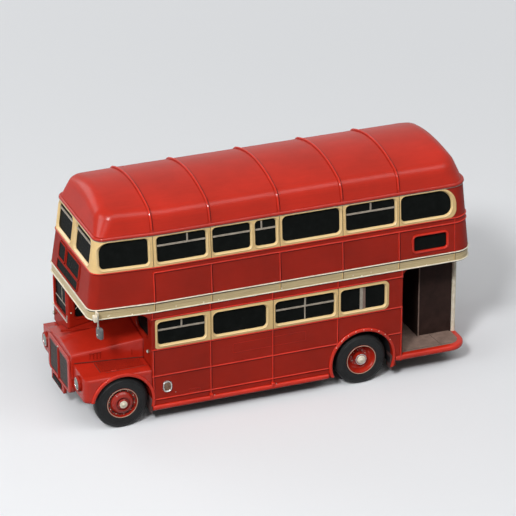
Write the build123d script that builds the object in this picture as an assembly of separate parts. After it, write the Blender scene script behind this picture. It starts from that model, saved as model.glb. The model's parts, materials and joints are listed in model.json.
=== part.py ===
from build123d import *
import math
import os

# Scale model of an open-platform double-deck bus, 1:72, in millimetres.
# +X is forward, +Y the near side (the side of the open platform), +Z up.
# The origin is on the ground below the middle of the model.
# Distances along the body are given as "aft", rearward of the front axle.

# Driving dimensions
FRONT_AXLE_X = 46.8
WHEELBASE = 71.3
HALF_WIDTH = 19.45
GUTTER_HALF_WIDTH = 18.2
WALL = 1.4
TYRE_RADIUS = 7.7
BEYOND = 3.0

# Heights above the ground
SKIRT_Z = 4.2
CHASSIS_Z = 4.8
CHASSIS_TOP_Z = 6.2
RAIL_Z = (4.0, 5.5)
PLATFORM_Z = 7.2
LOWER_CREAM_Z = (22.7, 31.6)
LOWER_GLASS_Z = (23.8, 30.5)
BAND_Z = (33.9, 37.0)
SILL_Z = 47.1
UPPER_GLASS_Z = (48.3, 55.6)
GUTTER_Z = 56.5
CROWN_Z = 65.9

# Ends of the body, aft of the front axle (negative is forward of it)
BULKHEAD_AFT = 8.6
PLATFORM_FRONT_AFT = 83.4
LOWER_REAR_AFT = 104.1
BAND_FRONT_AFT = -8.45
BAND_REAR_AFT = 105.1
GUTTER_FRONT_AFT = -5.7
GUTTER_REAR_AFT = 103.5
FRONT_CORNER = 2.7
REAR_CORNER = 5.2

# The sides draw in towards the front corners, with a wide bend where they start to
FRONT_TAPER = 1.5
TAPER_LENGTH = 18.0
TAPER_BEND = 50.0

# Pillars of the window bays
UPPER_PILLARS_AFT = (9.8, 26.4, 46.5, 65.2, 82.2)
LOWER_PILLARS_AFT = (25.8, 44.2, 63.7)

# Side windows: front edge aft, rear edge aft of the dark pane as it shows inside its rim,
# then the corner radii front low, front high, rear high, rear low
UPPER_LIGHTS = (
    (-5.1, 8.6, 1.4, 2.8, 1.0, 1.0),
    (11.1, 25.2, 0.9, 0.9, 0.9, 0.9),
    (27.2, 38.1, 0.9, 0.9, 0.9, 0.9),
    (39.6, 45.6, 0.9, 0.9, 0.9, 0.9),
    (47.6, 64.5, 1.3, 1.3, 1.3, 1.3),
    (66.5, 81.1, 0.9, 0.9, 0.9, 0.9),
    (83.1, 98.2, 1.2, 1.2, 3.9, 2.4),
)
LOWER_LIGHTS = (
    (10.6, 24.3, 0.9, 0.9, 0.9, 0.9),
    (26.8, 42.4, 1.3, 1.3, 1.3, 1.3),
    (45.2, 62.7, 0.9, 0.9, 0.9, 0.9),
    (64.8, 78.1, 0.9, 0.9, 0.9, 0.9),
)
LOWER_CREAM_AFT = (9.7, 79.2)
UPPER_CREAM_REAR_AFT = 99.7
REAR_BAY_LIGHT = (86.7, 96.8, 38.8, 43.3)
REAR_BAY_CORNER = 0.9
CREAM_THICK = 0.6
CREAM_PROUD = 0.1
GLASS_INSET = 0.45
LINER = 0.8

# Each opening is larger than its pane by the width of the rim
RIM_WIDTH = 0.35

# End windows: y low, y high, z low, z high
FRONT_LIGHTS = ((0.9, 13.6, 48.3, 55.6), (-14.3, -2.2, 48.3, 55.6))
FRONT_LIGHT_CORNER = 1.0
REAR_UPPER_LIGHT = (-9.0, 9.0, 48.2, 55.6)
REAR_LIGHT_CORNER = 1.6
REAR_LOWER_LIGHT = (-9.5, 3.5, 23.4, 31.0)
REAR_LOWER_CORNER = 1.4
BULKHEAD_LIGHT = (7.0, 16.6, 25.0, 31.8)
BULKHEAD_LIGHT_CORNER = 1.8
INDICATORS = ((-10.2, -5.0, 41.3, 45.6), (-3.4, 7.0, 41.3, 45.6), (-10.6, 6.8, 37.9, 40.5))
INDICATOR_CORNER = 0.4

# Opening bars of the side windows: window number, height share of the bar,
# aft share of the short divider above it (or None)
UPPER_BARS = ((1, 0.66, 0.62), (2, 0.66, None), (3, 0.66, 0.3), (5, 0.66, 0.5))
LOWER_BARS = ((0, 0.66, 0.5), (2, 0.62, 0.5))
LOWER_POST_AFT = 70.9
BAR_WIDTH = 0.4
BAR_PROUD = 0.3

# Mouldings on the body panels
BEAD_WIDTH = 0.45
BEAD_PROUD = 0.25
LOWER_BEADS_Z = (7.15, 14.35, 22.45, 31.85)
UNDER_SILL_Z = 45.6
REAR_SEAM_AFT = 99.2
BAND_BEAD_PROUD = 0.35
BAND_BEAD_HEIGHT = 0.5
SIDE_LAMP = (11.4, 14.5, 8.9, 12.6)
SIDE_LAMP_RIM = 0.55
SIDE_LAMP_CORNER = 1.1

# Roof: how far each wall leans in for each millimetre of height, and how round it is
ROOF_LEAN_SIDE = 0.25
ROOF_LEAN_FRONT = 0.25
ROOF_LEAN_REAR = 0.36
ROOF_ARCH_RADIUS = 41.6
ROOF_TOP_CORNERS = (8.5, 7.6)
ROOF_ROUNDING = 4.2
RIB_WIDTH = 0.7
RIB_PROUD = 0.3
GUTTER_BEAD_PROUD = 0.3
GUTTER_BEAD_HEIGHT = 0.7

# Front end
NOSE_Y = -1.0
RADIATOR_AFT = -11.9
RADIATOR_THICK = 1.7
RADIATOR_HALF = 9.7
RADIATOR_Z = (7.4, 18.6)
RADIATOR_CORNER = 1.7
GRILLE_HALF = 8.0
GRILLE_Z = (8.3, 17.2)
GRILLE_BAR_HALF = 0.6
GRILLE_DEPTH = 0.5
GRILLE_FINS = 12
BONNET_FRONT_AFT = -11.4
BONNET_FOOT_Z = 12.5
# Bonnet sections at its front and its rear: y and z of the near edge, of the ridge and of the off edge
BONNET_FRONT = ((9.45, 20.0), (-0.9, 20.8), (-11.45, 18.5))
BONNET_REAR = ((12.6, 23.1), (0.9, 24.6), (-10.8, 22.0))
WING_FRONT_AFT = -10.9
WING_TOP_Z = 17.3
WING_SHOULDER_Z = 16.2
WING_BOTTOM_Z = 9.6
WING_CORNER = 1.9
OFF_WING_SLOPE_Y = 14.8
LAMP_Y = 14.4
LAMP_Z = 13.7
LAMP_RADIUS = 2.25
CAB_FRONT_AFT = -7.3
CAB_NEAR_Y = -5.6
CAB_WALL = 1.2
CAB_GLASS_Z = (23.0, 31.8)
CAB_SCREEN_Y = (-17.9, -7.4)
CAB_POST_CORNERS = (0.8, 0.6)
MARKER_RADIUS = 0.55
MARKER_RIM = 0.25
# Marker lamps: aft, y, z
MARKERS = ((BULKHEAD_AFT, 17.0, 21.2), (CAB_FRONT_AFT, -18.0, 19.9))

# Wheels and axles
AXLE_RADIUS = 1.0
BEARING_CLEARANCE = 0.06
FRONT_WHEEL_Y = 19.1
REAR_WHEEL_Y = 18.9
TYRE_WIDTH = 3.7
TWIN_PITCH = 4.1
BEAD_SEAT_RADIUS = 4.2
RIM_RADIUS = 4.5
FRONT_ARCH_RADIUS = 8.5
REAR_ARCH_RADIUS = 9.3
ARCH_LIP = 0.9

# Open rear platform
STAIR_FRONT_AFT = 92.3
STAIR_NEAR_Y = 10.5
STAIR_WALL = 1.0
EDGE_FRONT_AFT = 81.6
EDGE_HEIGHT = 1.7
EDGE_PROUD = 0.3
OPENING_CORNER = 2.2
CANOPY_CORNER = 4.0
POST_RADIUS = 0.7
REAR_LAMPS_Y = (-12.2, 6.4)
REAR_LAMP_Z = 12.0
REAR_LAMP_RADIUS = 0.9

# Front wheel face: radius, distance outward of the tyre's outer plane
FRONT_WHEEL_FACE = ((4.2, 0.0), (4.0, -0.7), (3.4, -0.7), (3.25, -0.3), (2.8, 0.2), (2.2, 0.5), (1.95, 0.5),
                    (1.85, 0.2), (1.5, 0.2), (1.5, 0.55), (1.3, 0.8), (0.0, 0.8))
# Rear wheel face, dished, with its hub standing nearly level with the tyre
REAR_WHEEL_FACE = ((4.2, 0.0), (4.1, -0.4), (3.3, -1.6), (2.6, -2.2), (1.75, -2.2), (1.65, -0.5),
                   (1.35, -0.15), (0.6, -0.1), (0.5, 0.05), (0.0, 0.05))
# Tyre section from the outer to the inner side: radius, share of the width
TYRE_SECTION = ((RIM_RADIUS, 0.02), (5.4, 0.0), (6.7, 0.03), (7.4, 0.13), (TYRE_RADIUS, 0.32),
                (TYRE_RADIUS, 0.68), (7.4, 0.87), (6.7, 0.97), (BEAD_SEAT_RADIUS, 1.0))
WHEEL_SOCKET_Y = 17.2
RIM_STEP = 1.2


def at(aft):
    """Turn a distance aft of the front axle into an x position."""
    return FRONT_AXLE_X - aft


def block(aft_front, aft_rear, y_low, y_high, z_low, z_high):
    """Upright box between two distances aft, two y values and two heights."""
    size = (aft_rear - aft_front, y_high - y_low, z_high - z_low)
    centre = (at((aft_front + aft_rear) / 2), (y_low + y_high) / 2, (z_low + z_high) / 2)
    return Pos(*centre) * Box(*size)


def fused(pieces):
    """One shape made of all the pieces."""
    result = pieces[0]
    for piece in pieces[1:]:
        result = result + piece
    return result


def both_sides(solid):
    """The same piece on the near and the off side."""
    return solid + mirror(solid, about=Plane.XZ)


def plan(aft_front, aft_rear, half, r_front, r_rear):
    """Outline of a straight-sided body part seen from above, with corner radii front and rear."""
    points = [(at(aft_front), -half), (at(aft_front), half), (at(aft_rear), half), (at(aft_rear), -half)]
    return make_face(FilletPolyline(*points, radius=[r_front, r_front, r_rear, r_rear], close=True))


def tapered_plan(aft_front, aft_rear, half, r_front, r_rear):
    """Outline seen from above of a part that reaches the front, where its sides draw in."""
    bend = aft_front + TAPER_LENGTH
    narrow = half - FRONT_TAPER
    points = [(at(aft_front), -narrow), (at(aft_front), narrow), (at(bend), half),
              (at(aft_rear), half), (at(aft_rear), -half), (at(bend), -half)]
    radii = [r_front, r_front, TAPER_BEND, r_rear, r_rear, TAPER_BEND]
    return make_face(FilletPolyline(*points, radius=radii, close=True))


def band_plan(grow):
    """Outline of the band between the decks, grown or shrunk all round."""
    return tapered_plan(BAND_FRONT_AFT - grow, BAND_REAR_AFT + grow, HALF_WIDTH + grow,
                        FRONT_CORNER + grow, REAR_CORNER + grow)


def gutter_plan(grow):
    """Outline of the body at the gutter, grown or shrunk all round."""
    return tapered_plan(GUTTER_FRONT_AFT - grow, GUTTER_REAR_AFT + grow, GUTTER_HALF_WIDTH + grow,
                        FRONT_CORNER + grow, REAR_CORNER + grow)


def side_outline(aft_front, aft_rear, z_low, z_high, radii):
    """Rounded outline in the XZ plane; radii run front low, front high, rear high, rear low."""
    points = [(at(aft_front), z_low), (at(aft_front), z_high), (at(aft_rear), z_high), (at(aft_rear), z_low)]
    return Plane.XZ * make_face(FilletPolyline(*points, radius=list(radii), close=True))


def through_sides(face):
    """Cutter that runs right across the body."""
    return extrude(face, amount=HALF_WIDTH + BEYOND, both=True)


def end_cutter(y_low, y_high, z_low, z_high, radius, aft_from, aft_to):
    """Rounded window cutter for a front or rear wall, between two distances aft."""
    outline = RectangleRounded(y_high - y_low, z_high - z_low, radius)
    outline = Plane.YZ * Pos((y_low + y_high) / 2, (z_low + z_high) / 2) * outline
    return Pos(at(aft_to), 0, 0) * extrude(outline, amount=aft_to - aft_from)


def upper_form(grow, z_low, z_high):
    """Form of the upper deck between two heights: the ends rake and the sides lean in towards the gutter."""
    def section(z):
        share = (z - BAND_Z[1]) / (GUTTER_Z - BAND_Z[1])
        front = BAND_FRONT_AFT + share * (GUTTER_FRONT_AFT - BAND_FRONT_AFT)
        rear = BAND_REAR_AFT + share * (GUTTER_REAR_AFT - BAND_REAR_AFT)
        half = HALF_WIDTH + share * (GUTTER_HALF_WIDTH - HALF_WIDTH)
        face = tapered_plan(front - grow, rear + grow, half + grow, FRONT_CORNER + grow, REAR_CORNER + grow)
        return Pos(0, 0, z) * face
    return loft([section(z_low), section(z_high)], ruled=True)


def upper_skin(proud, inset, z_low, z_high):
    """Thin shell that follows the upper deck's outside, from inset below it to proud of it."""
    return upper_form(proud, z_low, z_high) - upper_form(-inset, z_low, z_high)


def roof_form(grow):
    """Roof above the gutter: leaning walls under a shallow arch, with all its upper edges well rounded."""
    rise = CROWN_Z + 2 - GUTTER_Z
    front_top_corner, rear_top_corner = ROOF_TOP_CORNERS
    low = gutter_plan(grow)
    high = tapered_plan(GUTTER_FRONT_AFT + ROOF_LEAN_FRONT * rise - grow,
                        GUTTER_REAR_AFT - ROOF_LEAN_REAR * rise + grow,
                        GUTTER_HALF_WIDTH - ROOF_LEAN_SIDE * rise + grow,
                        front_top_corner + grow, rear_top_corner + grow)
    walls = loft([Pos(0, 0, GUTTER_Z) * low, Pos(0, 0, GUTTER_Z + rise) * high], ruled=True)
    middle = (GUTTER_FRONT_AFT + GUTTER_REAR_AFT) / 2
    arch = Rot(0, 90, 0) * Cylinder(ROOF_ARCH_RADIUS, 140)
    form = walls & (Pos(at(middle), 0, CROWN_Z + grow - ROOF_ARCH_RADIUS) * arch)
    upper_edges = [e for e in form.edges() if e.bounding_box().min.Z > GUTTER_Z + 3]
    return fillet(upper_edges, ROOF_ROUNDING + grow)


def axle_cylinder(radius, y_low, y_high, aft):
    """Cylinder on an axle's line, between two y values."""
    middle = (y_low + y_high) / 2
    return Pos(at(aft), middle, TYRE_RADIUS) * Rot(90, 0, 0) * Cylinder(radius, y_high - y_low)


def arch_cutters(radius, aft):
    """Wheel arch openings on both sides, open downwards."""
    reach = HALF_WIDTH + BEYOND
    below = block(aft - radius, aft + radius, -reach, reach, -2, TYRE_RADIUS)
    return axle_cylinder(radius, -reach, reach, aft) + below


def light_cutter(row, glass_z):
    """Cutter for one row of a side window table, with room for the rim round the pane."""
    front, rear, *radii = row
    low, high = glass_z
    outline = side_outline(front - RIM_WIDTH, rear + RIM_WIDTH, low - RIM_WIDTH, high + RIM_WIDTH,
                           [radius + RIM_WIDTH for radius in radii])
    return through_sides(outline)


def front_light_cutter(y_low, y_high, z_low, z_high):
    """Cutter for one of the two front windows of the upper deck, with room for the rim."""
    return end_cutter(y_low - RIM_WIDTH, y_high + RIM_WIDTH, z_low - RIM_WIDTH, z_high + RIM_WIDTH,
                      FRONT_LIGHT_CORNER + RIM_WIDTH, BAND_FRONT_AFT - BEYOND, GUTTER_FRONT_AFT + BEYOND)


upper_light_cut = [light_cutter(row, UPPER_GLASS_Z) for row in UPPER_LIGHTS]
lower_light_cut = [light_cutter(row, LOWER_GLASS_Z) for row in LOWER_LIGHTS]
rear_bay_cut = through_sides(side_outline(*REAR_BAY_LIGHT, (REAR_BAY_CORNER,) * 4))
upper_end_cut = [front_light_cutter(*row) for row in FRONT_LIGHTS]
upper_end_cut.append(end_cutter(*REAR_UPPER_LIGHT, REAR_LIGHT_CORNER, 98, 108))


def wheel_box(side):
    """Round inner arch over the rear wheels of one side, closed towards the middle."""
    drum_y, well_y, outer_y = 9.2, 10.0, HALF_WIDTH - WALL
    drum = axle_cylinder(REAR_ARCH_RADIUS + 0.8, *sorted((side * drum_y, side * outer_y)), WHEELBASE)
    well = axle_cylinder(REAR_ARCH_RADIUS, *sorted((side * well_y, side * (outer_y + 1))), WHEELBASE)
    return (drum - well) & block(50, 90, -HALF_WIDTH, HALF_WIDTH, CHASSIS_Z, 30)


def make_chassis():
    """Floor plate with wheel wells, inner rear arches and a bored bearing block beside each wheel."""
    half, front_aft, well_reach, well_top = 17.6, -6.0, 9.3, 12
    plate = block(front_aft, PLATFORM_FRONT_AFT, -half, half, CHASSIS_Z, CHASSIS_TOP_Z)
    cutters = []
    for aft, inner in ((0, 14.0), (WHEELBASE, 10.0)):
        cutters.append(block(aft - well_reach, aft + well_reach, inner, HALF_WIDTH, 0, well_top))
        cutters.append(block(aft - well_reach, aft + well_reach, -HALF_WIDTH, -inner, 0, well_top))
    bearings = []
    for aft, y in ((0, 11.5), (WHEELBASE, 7.5)):
        bearing = block(aft - 2.6, aft + 2.6, y - 1.3, y + 1.3, CHASSIS_Z, TYRE_RADIUS + 2.4)
        bearings.append(both_sides(bearing))
    bores = [axle_cylinder(AXLE_RADIUS + BEARING_CLEARANCE, -half, half, aft) for aft in (0, WHEELBASE)]
    return plate - cutters + bearings + wheel_box(1) + wheel_box(-1) - bores


def lower_ring():
    """Walls of the lower deck, from the skirt to the band."""
    outer = plan(BULKHEAD_AFT, LOWER_REAR_AFT, HALF_WIDTH, 0.3, REAR_CORNER)
    inner = plan(BULKHEAD_AFT + WALL, LOWER_REAR_AFT - WALL, HALF_WIDTH - WALL, 0.3, REAR_CORNER - WALL)
    ring = Pos(0, 0, SKIRT_Z) * extrude(outer - inner, amount=BAND_Z[0] - SKIRT_Z)
    return ring - arch_cutters(REAR_ARCH_RADIUS, WHEELBASE) - arch_cutters(FRONT_ARCH_RADIUS, 0)


def side_strip(inset, proud, z_low, z_high):
    """Flat layer on the near side of the lower deck, from inset below the skin to proud of it."""
    return block(0, PLATFORM_FRONT_AFT, HALF_WIDTH - inset, HALF_WIDTH + proud, z_low, z_high)


def lower_cream_form():
    """Outline of the cream window band of the lower deck, right across the body."""
    return through_sides(side_outline(*LOWER_CREAM_AFT, *LOWER_CREAM_Z, (0.7, 0.7, 1.7, 1.7)))


def corner_gusset(aft_low, aft_high, centre_aft, radius):
    """Piece that rounds an upper corner of a side opening below the band."""
    low_z = BAND_Z[0] - radius
    piece = block(aft_low, aft_high, HALF_WIDTH - WALL, HALF_WIDTH, low_z, BAND_Z[0])
    hole = Pos(at(centre_aft), HALF_WIDTH, low_z) * Rot(90, 0, 0) * Cylinder(radius, 4 * WALL)
    return piece - hole


def make_lower_panels():
    """Near side panel, off side panel with its rear corner, and rear panel."""
    ring = lower_ring()
    inlays = both_sides(lower_cream_form() & side_strip(CREAM_THICK, 1, 20, 33))
    ring = ring - inlays - lower_light_cut
    inner = HALF_WIDTH - WALL
    near = ring & block(BULKHEAD_AFT, PLATFORM_FRONT_AFT, inner, HALF_WIDTH + 1, 0, BAND_Z[0])
    near = near - block(EDGE_FRONT_AFT, 90, inner - 1, HALF_WIDTH + 1, 0, PLATFORM_Z)
    near = near + corner_gusset(BULKHEAD_AFT - CANOPY_CORNER, BULKHEAD_AFT, BULKHEAD_AFT - CANOPY_CORNER,
                                CANOPY_CORNER)
    near = near + corner_gusset(PLATFORM_FRONT_AFT, PLATFORM_FRONT_AFT + OPENING_CORNER,
                                PLATFORM_FRONT_AFT + OPENING_CORNER, OPENING_CORNER)
    corner_y = REAR_CORNER - HALF_WIDTH
    off_side = block(BULKHEAD_AFT, 110, -HALF_WIDTH - 1, -inner, 0, BAND_Z[0])
    off_corner = block(LOWER_REAR_AFT - REAR_CORNER, 110, -HALF_WIDTH - 1, corner_y, 0, BAND_Z[0])
    off = ring & (off_side + off_corner)
    rear = ring & block(100, 110, corner_y, STAIR_NEAR_Y - STAIR_WALL, 0, BAND_Z[0])
    rear = rear - end_cutter(*REAR_LOWER_LIGHT, REAR_LOWER_CORNER, 100, 108)
    return near, off, rear


def make_bulkhead():
    """Wall between the bonnet and the saloon."""
    half = HALF_WIDTH - WALL
    wall = block(BULKHEAD_AFT, BULKHEAD_AFT + WALL, -half, half, CHASSIS_TOP_Z, BAND_Z[0])
    window = end_cutter(*BULKHEAD_LIGHT, BULKHEAD_LIGHT_CORNER, 7, 12)
    return wall - window - arch_cutters(FRONT_ARCH_RADIUS, 0)


def make_lower_cream():
    strip = side_strip(CREAM_THICK, CREAM_PROUD, 20, 33)
    return both_sides((lower_cream_form() & strip) - lower_light_cut)


def make_lower_glazing():
    """Dark liner behind the lower windows, with a raised pane in each window."""
    inner = HALF_WIDTH - WALL
    sheet = block(BULKHEAD_AFT + WALL, 80.5, inner - LINER, inner, 22.6, 31.8)
    panes = Compound(lower_light_cut) & block(9, 80, inner - 0.1, HALF_WIDTH - GLASS_INSET, 20, 33)
    return both_sides(sheet + panes)


def make_bulkhead_glazing():
    return end_cutter(*BULKHEAD_LIGHT, BULKHEAD_LIGHT_CORNER, BULKHEAD_AFT + 0.5, BULKHEAD_AFT + WALL)


def make_rear_glazing():
    return end_cutter(*REAR_LOWER_LIGHT, REAR_LOWER_CORNER, LOWER_REAR_AFT - WALL, LOWER_REAR_AFT - 0.5)


def make_deck_floor():
    return Pos(0, 0, BAND_Z[0]) * extrude(band_plan(-WALL), amount=1.6)


def make_mid_band():
    return Pos(0, 0, BAND_Z[0]) * extrude(band_plan(0) - band_plan(-WALL), amount=BAND_Z[1] - BAND_Z[0])


def make_band_beads():
    """Rounded beads along the top and the bottom of the band, right round the body."""
    beads = []
    for z in (BAND_Z[0], BAND_Z[1] - BAND_BEAD_HEIGHT):
        bead = Pos(0, 0, z) * extrude(band_plan(BAND_BEAD_PROUD), amount=BAND_BEAD_HEIGHT)
        rims = [e for e in bead.edges() if abs(e.tangent_at(0.5).Z) < 0.5]
        bead = fillet(rims, 0.2)
        beads.append(bead - Pos(0, 0, z) * extrude(band_plan(0), amount=BAND_BEAD_HEIGHT))
    return beads[0] + beads[1]


def upper_cream_zone():
    """Side outline of the upper cream band; it wraps the front and has a round end at the rear."""
    radii = (0.5, 0.5, 5.4, 2.6)
    return through_sides(side_outline(-20, UPPER_CREAM_REAR_AFT, SILL_Z, GUTTER_Z, radii))


def make_upper_body():
    """Shell of the upper deck with its windows cut and a shallow seat for the cream band."""
    shell = upper_skin(0, WALL, BAND_Z[1], GUTTER_Z)
    seat = upper_skin(0, CREAM_THICK, SILL_Z, GUTTER_Z) & upper_cream_zone()
    return shell - seat - upper_light_cut - rear_bay_cut - upper_end_cut


def make_upper_cream():
    band = upper_skin(CREAM_PROUD, CREAM_THICK, SILL_Z, GUTTER_Z) & upper_cream_zone()
    return band - upper_light_cut - upper_end_cut


def make_upper_glazing():
    """Dark liner behind the upper windows, with a raised pane in each window."""
    low, high = BAND_Z[1] + 1.0, GUTTER_Z - 0.3
    liner = upper_form(-WALL, low, high) - upper_form(-WALL - LINER, low, high)
    slab = upper_skin(-GLASS_INSET, WALL + 0.1, low, high)
    return liner + (slab & Compound(upper_light_cut + [rear_bay_cut] + upper_end_cut))


def make_roof():
    """Roof shell with a raised rib over each pillar and the gutter bead round its foot."""
    hollow = Pos(0, 0, -0.2) * roof_form(-WALL)
    raised = roof_form(RIB_PROUD)
    ribs = [raised & block(aft - RIB_WIDTH / 2, aft + RIB_WIDTH / 2, -22, 22, GUTTER_Z, CROWN_Z + 2)
            for aft in UPPER_PILLARS_AFT]
    bead = Pos(0, 0, GUTTER_Z) * extrude(gutter_plan(GUTTER_BEAD_PROUD), amount=GUTTER_BEAD_HEIGHT)
    rims = [e for e in bead.edges() if abs(e.tangent_at(0.5).Z) < 0.5]
    bead = fillet(rims, 0.2)
    return roof_form(0) + ribs + bead - hollow


def make_indicators():
    """Three dark panels on the front of the upper deck."""
    front = upper_skin(0.15, 0, BAND_Z[1], GUTTER_Z)
    return front & Compound([end_cutter(*row, INDICATOR_CORNER, -12, -3) for row in INDICATORS])


def bars_between(row, glass_z, height_share, divider_share, layer):
    """Bar across one side window, and its short divider, cut from a layer over the pane."""
    z = glass_z[0] + height_share * (glass_z[1] - glass_z[0])
    reach = HALF_WIDTH + BEYOND
    bar = block(row[0], row[1], -reach, reach, z - BAR_WIDTH / 2, z + BAR_WIDTH / 2)
    if divider_share is not None:
        aft = row[0] + divider_share * (row[1] - row[0])
        bar = bar + block(aft - BAR_WIDTH / 2, aft + BAR_WIDTH / 2, -reach, reach, z, glass_z[1])
    return bar & layer


def make_window_bars():
    """Bars of the sliding and hinged lights, on the panes of both decks."""
    upper_layer = upper_skin(-GLASS_INSET + BAR_PROUD, GLASS_INSET, *UPPER_GLASS_Z)
    inner, outer = HALF_WIDTH - GLASS_INSET, HALF_WIDTH - GLASS_INSET + BAR_PROUD
    lower_layer = both_sides(block(0, 90, inner, outer, *LOWER_GLASS_Z))
    bars = [bars_between(UPPER_LIGHTS[n], UPPER_GLASS_Z, share, divider, upper_layer)
            for n, share, divider in UPPER_BARS]
    bars += [bars_between(LOWER_LIGHTS[n], LOWER_GLASS_Z, share, divider, lower_layer)
             for n, share, divider in LOWER_BARS]
    bars.append(lower_layer & block(LOWER_POST_AFT - 0.4, LOWER_POST_AFT + 0.4, -22, 22, *LOWER_GLASS_Z))
    for y_low, y_high, z_low, z_high in FRONT_LIGHTS:
        z = z_low + 0.8 * (z_high - z_low)
        bars.append(upper_layer & block(-12, -4, y_low, y_high, z - BAR_WIDTH / 2, z + BAR_WIDTH / 2))
    return Compound([solid for bar in bars for solid in bar.solids()])


def make_body_mouldings():
    """Beads along and between the body panels, and the frame of the small light in the rear bay."""
    def strip(aft_front, aft_rear, z_low, z_high):
        return block(aft_front, aft_rear, HALF_WIDTH, HALF_WIDTH + BEAD_PROUD, z_low, z_high)

    half = BEAD_WIDTH / 2
    posts = [BULKHEAD_AFT + half + 0.2, *LOWER_PILLARS_AFT, PLATFORM_FRONT_AFT - half]
    lower = [strip(BULKHEAD_AFT, PLATFORM_FRONT_AFT, z - half, z + half) for z in LOWER_BEADS_Z]
    lower += [strip(aft - half, aft + half, RAIL_Z[1], LOWER_CREAM_Z[0]) for aft in posts]
    lower += [strip(aft - half, aft + half, LOWER_CREAM_Z[1], BAND_Z[0]) for aft in posts]
    lower = fused(lower) - strip(EDGE_FRONT_AFT, 90, 0, PLATFORM_Z)
    lower = lower - arch_cutters(REAR_ARCH_RADIUS + ARCH_LIP, WHEELBASE)
    lower = lower - arch_cutters(FRONT_ARCH_RADIUS + ARCH_LIP, 0)
    skin = upper_skin(BEAD_PROUD, 0, BAND_Z[1], SILL_Z)
    upper = [block(aft - half, aft + half, -22, 22, BAND_Z[1], UNDER_SILL_Z) for aft in UPPER_PILLARS_AFT]
    upper.append(block(UPPER_PILLARS_AFT[0], 110, -22, 22, UNDER_SILL_Z - half, UNDER_SILL_Z + half))
    upper.append(block(REAR_SEAM_AFT - half / 2, REAR_SEAM_AFT + half / 2, -22, 22, BAND_Z[1], SILL_Z))
    front, rear, low, high = REAR_BAY_LIGHT
    frame = side_outline(front - 0.6, rear + 0.6, low - 0.6, high + 0.6, (1.5, 1.5, 1.5, 1.5))
    upper.append(through_sides(frame))
    return both_sides(lower) + (skin & fused(upper)) - rear_bay_cut


def bonnet_form():
    """Bonnet: widens and rises from the nose to the bulkhead, with a ridge along its centre."""
    def section(aft, near, ridge, off):
        points = [(off[0], BONNET_FOOT_Z), (near[0], BONNET_FOOT_Z), near, ridge, off]
        return Pos(at(aft), 0, 0) * (Plane.YZ * make_face(Polyline(*points, close=True)))
    return loft([section(BONNET_FRONT_AFT, *BONNET_FRONT), section(BULKHEAD_AFT, *BONNET_REAR)], ruled=True)


def make_bonnet():
    """Bonnet with rounded shoulders and the bead of its centre hinge, cut back for the cab."""
    form = bonnet_form()
    shoulder = form.edges().filter_by(lambda e: e.length > 15).sort_by(Axis.Y)
    shoulder = [e for e in shoulder if e.center().Z > 20 and e.center().Y > 8]
    form = fillet(shoulder, 1.0)
    front = Vector(at(BONNET_FRONT_AFT), *BONNET_FRONT[1])
    rear = Vector(at(BULKHEAD_AFT), *BONNET_REAR[1])
    along = rear - front
    middle = Plane(origin=(front + rear) / 2, x_dir=along, z_dir=(0, 0, 1))
    hinge = middle.location * Box(along.length - 1.0, 0.5, 0.4)
    return form + hinge - block(CAB_FRONT_AFT, 20, -30, CAB_NEAR_Y, 0, 40)


def make_radiator_shell():
    """Rounded surround of the grille with a centre bar and the number plate's apron below."""
    height = RADIATOR_Z[1] - RADIATOR_Z[0]
    outline = RectangleRounded(2 * RADIATOR_HALF, height, RADIATOR_CORNER)
    outline = Plane.YZ * Pos(NOSE_Y, RADIATOR_Z[0] + height / 2) * outline
    shell = Pos(at(RADIATOR_AFT) - RADIATOR_THICK, 0, 0) * extrude(outline, amount=RADIATOR_THICK)
    front_rim = shell.faces().sort_by(Axis.X)[-1].edges()
    shell = fillet(front_rim, 0.4) - bonnet_form()
    gap_size = (2 * GRILLE_HALF, GRILLE_Z[1] - GRILLE_Z[0])
    gap = Plane.YZ * Pos(NOSE_Y, sum(GRILLE_Z) / 2) * RectangleRounded(*gap_size, 0.9)
    gap = Pos(at(RADIATOR_AFT) - GRILLE_DEPTH, 0, 0) * extrude(gap, amount=2)
    bar = block(RADIATOR_AFT, RADIATOR_AFT + GRILLE_DEPTH, NOSE_Y - GRILLE_BAR_HALF, NOSE_Y + GRILLE_BAR_HALF,
                GRILLE_Z[0] - 0.3, GRILLE_Z[1] + 0.3)
    apron = block(RADIATOR_AFT + 0.2, RADIATOR_AFT + 1.2, NOSE_Y - 7.6, NOSE_Y + 3.2,
                  4.6, RADIATOR_Z[0] + 0.4)
    return shell - gap + bar + apron


def make_grille():
    """Two finned grille halves, one on each side of the centre bar."""
    halves = []
    width = GRILLE_HALF - GRILLE_BAR_HALF
    for low in (NOSE_Y + GRILLE_BAR_HALF, NOSE_Y - GRILLE_HALF):
        z_low, z_high = GRILLE_Z[0] + 0.1, GRILLE_Z[1] - 0.1
        back = block(RADIATOR_AFT + 0.3, RADIATOR_AFT + GRILLE_DEPTH, low, low + width, z_low, z_high)
        step = width / GRILLE_FINS
        fins = [block(RADIATOR_AFT + 0.1, RADIATOR_AFT + 0.3,
                      low + (i + 0.25) * step, low + (i + 0.75) * step, z_low, z_high)
                for i in range(GRILLE_FINS)]
        halves.append(fused([back, *fins]))
    outline = RectangleRounded(2 * GRILLE_HALF, GRILLE_Z[1] - GRILLE_Z[0], 0.9)
    inside = Plane.YZ * Pos(NOSE_Y, sum(GRILLE_Z) / 2) * outline
    inside = Pos(at(RADIATOR_AFT) - 2, 0, 0) * extrude(inside, amount=4)
    return Compound([half & inside for half in halves])


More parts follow.
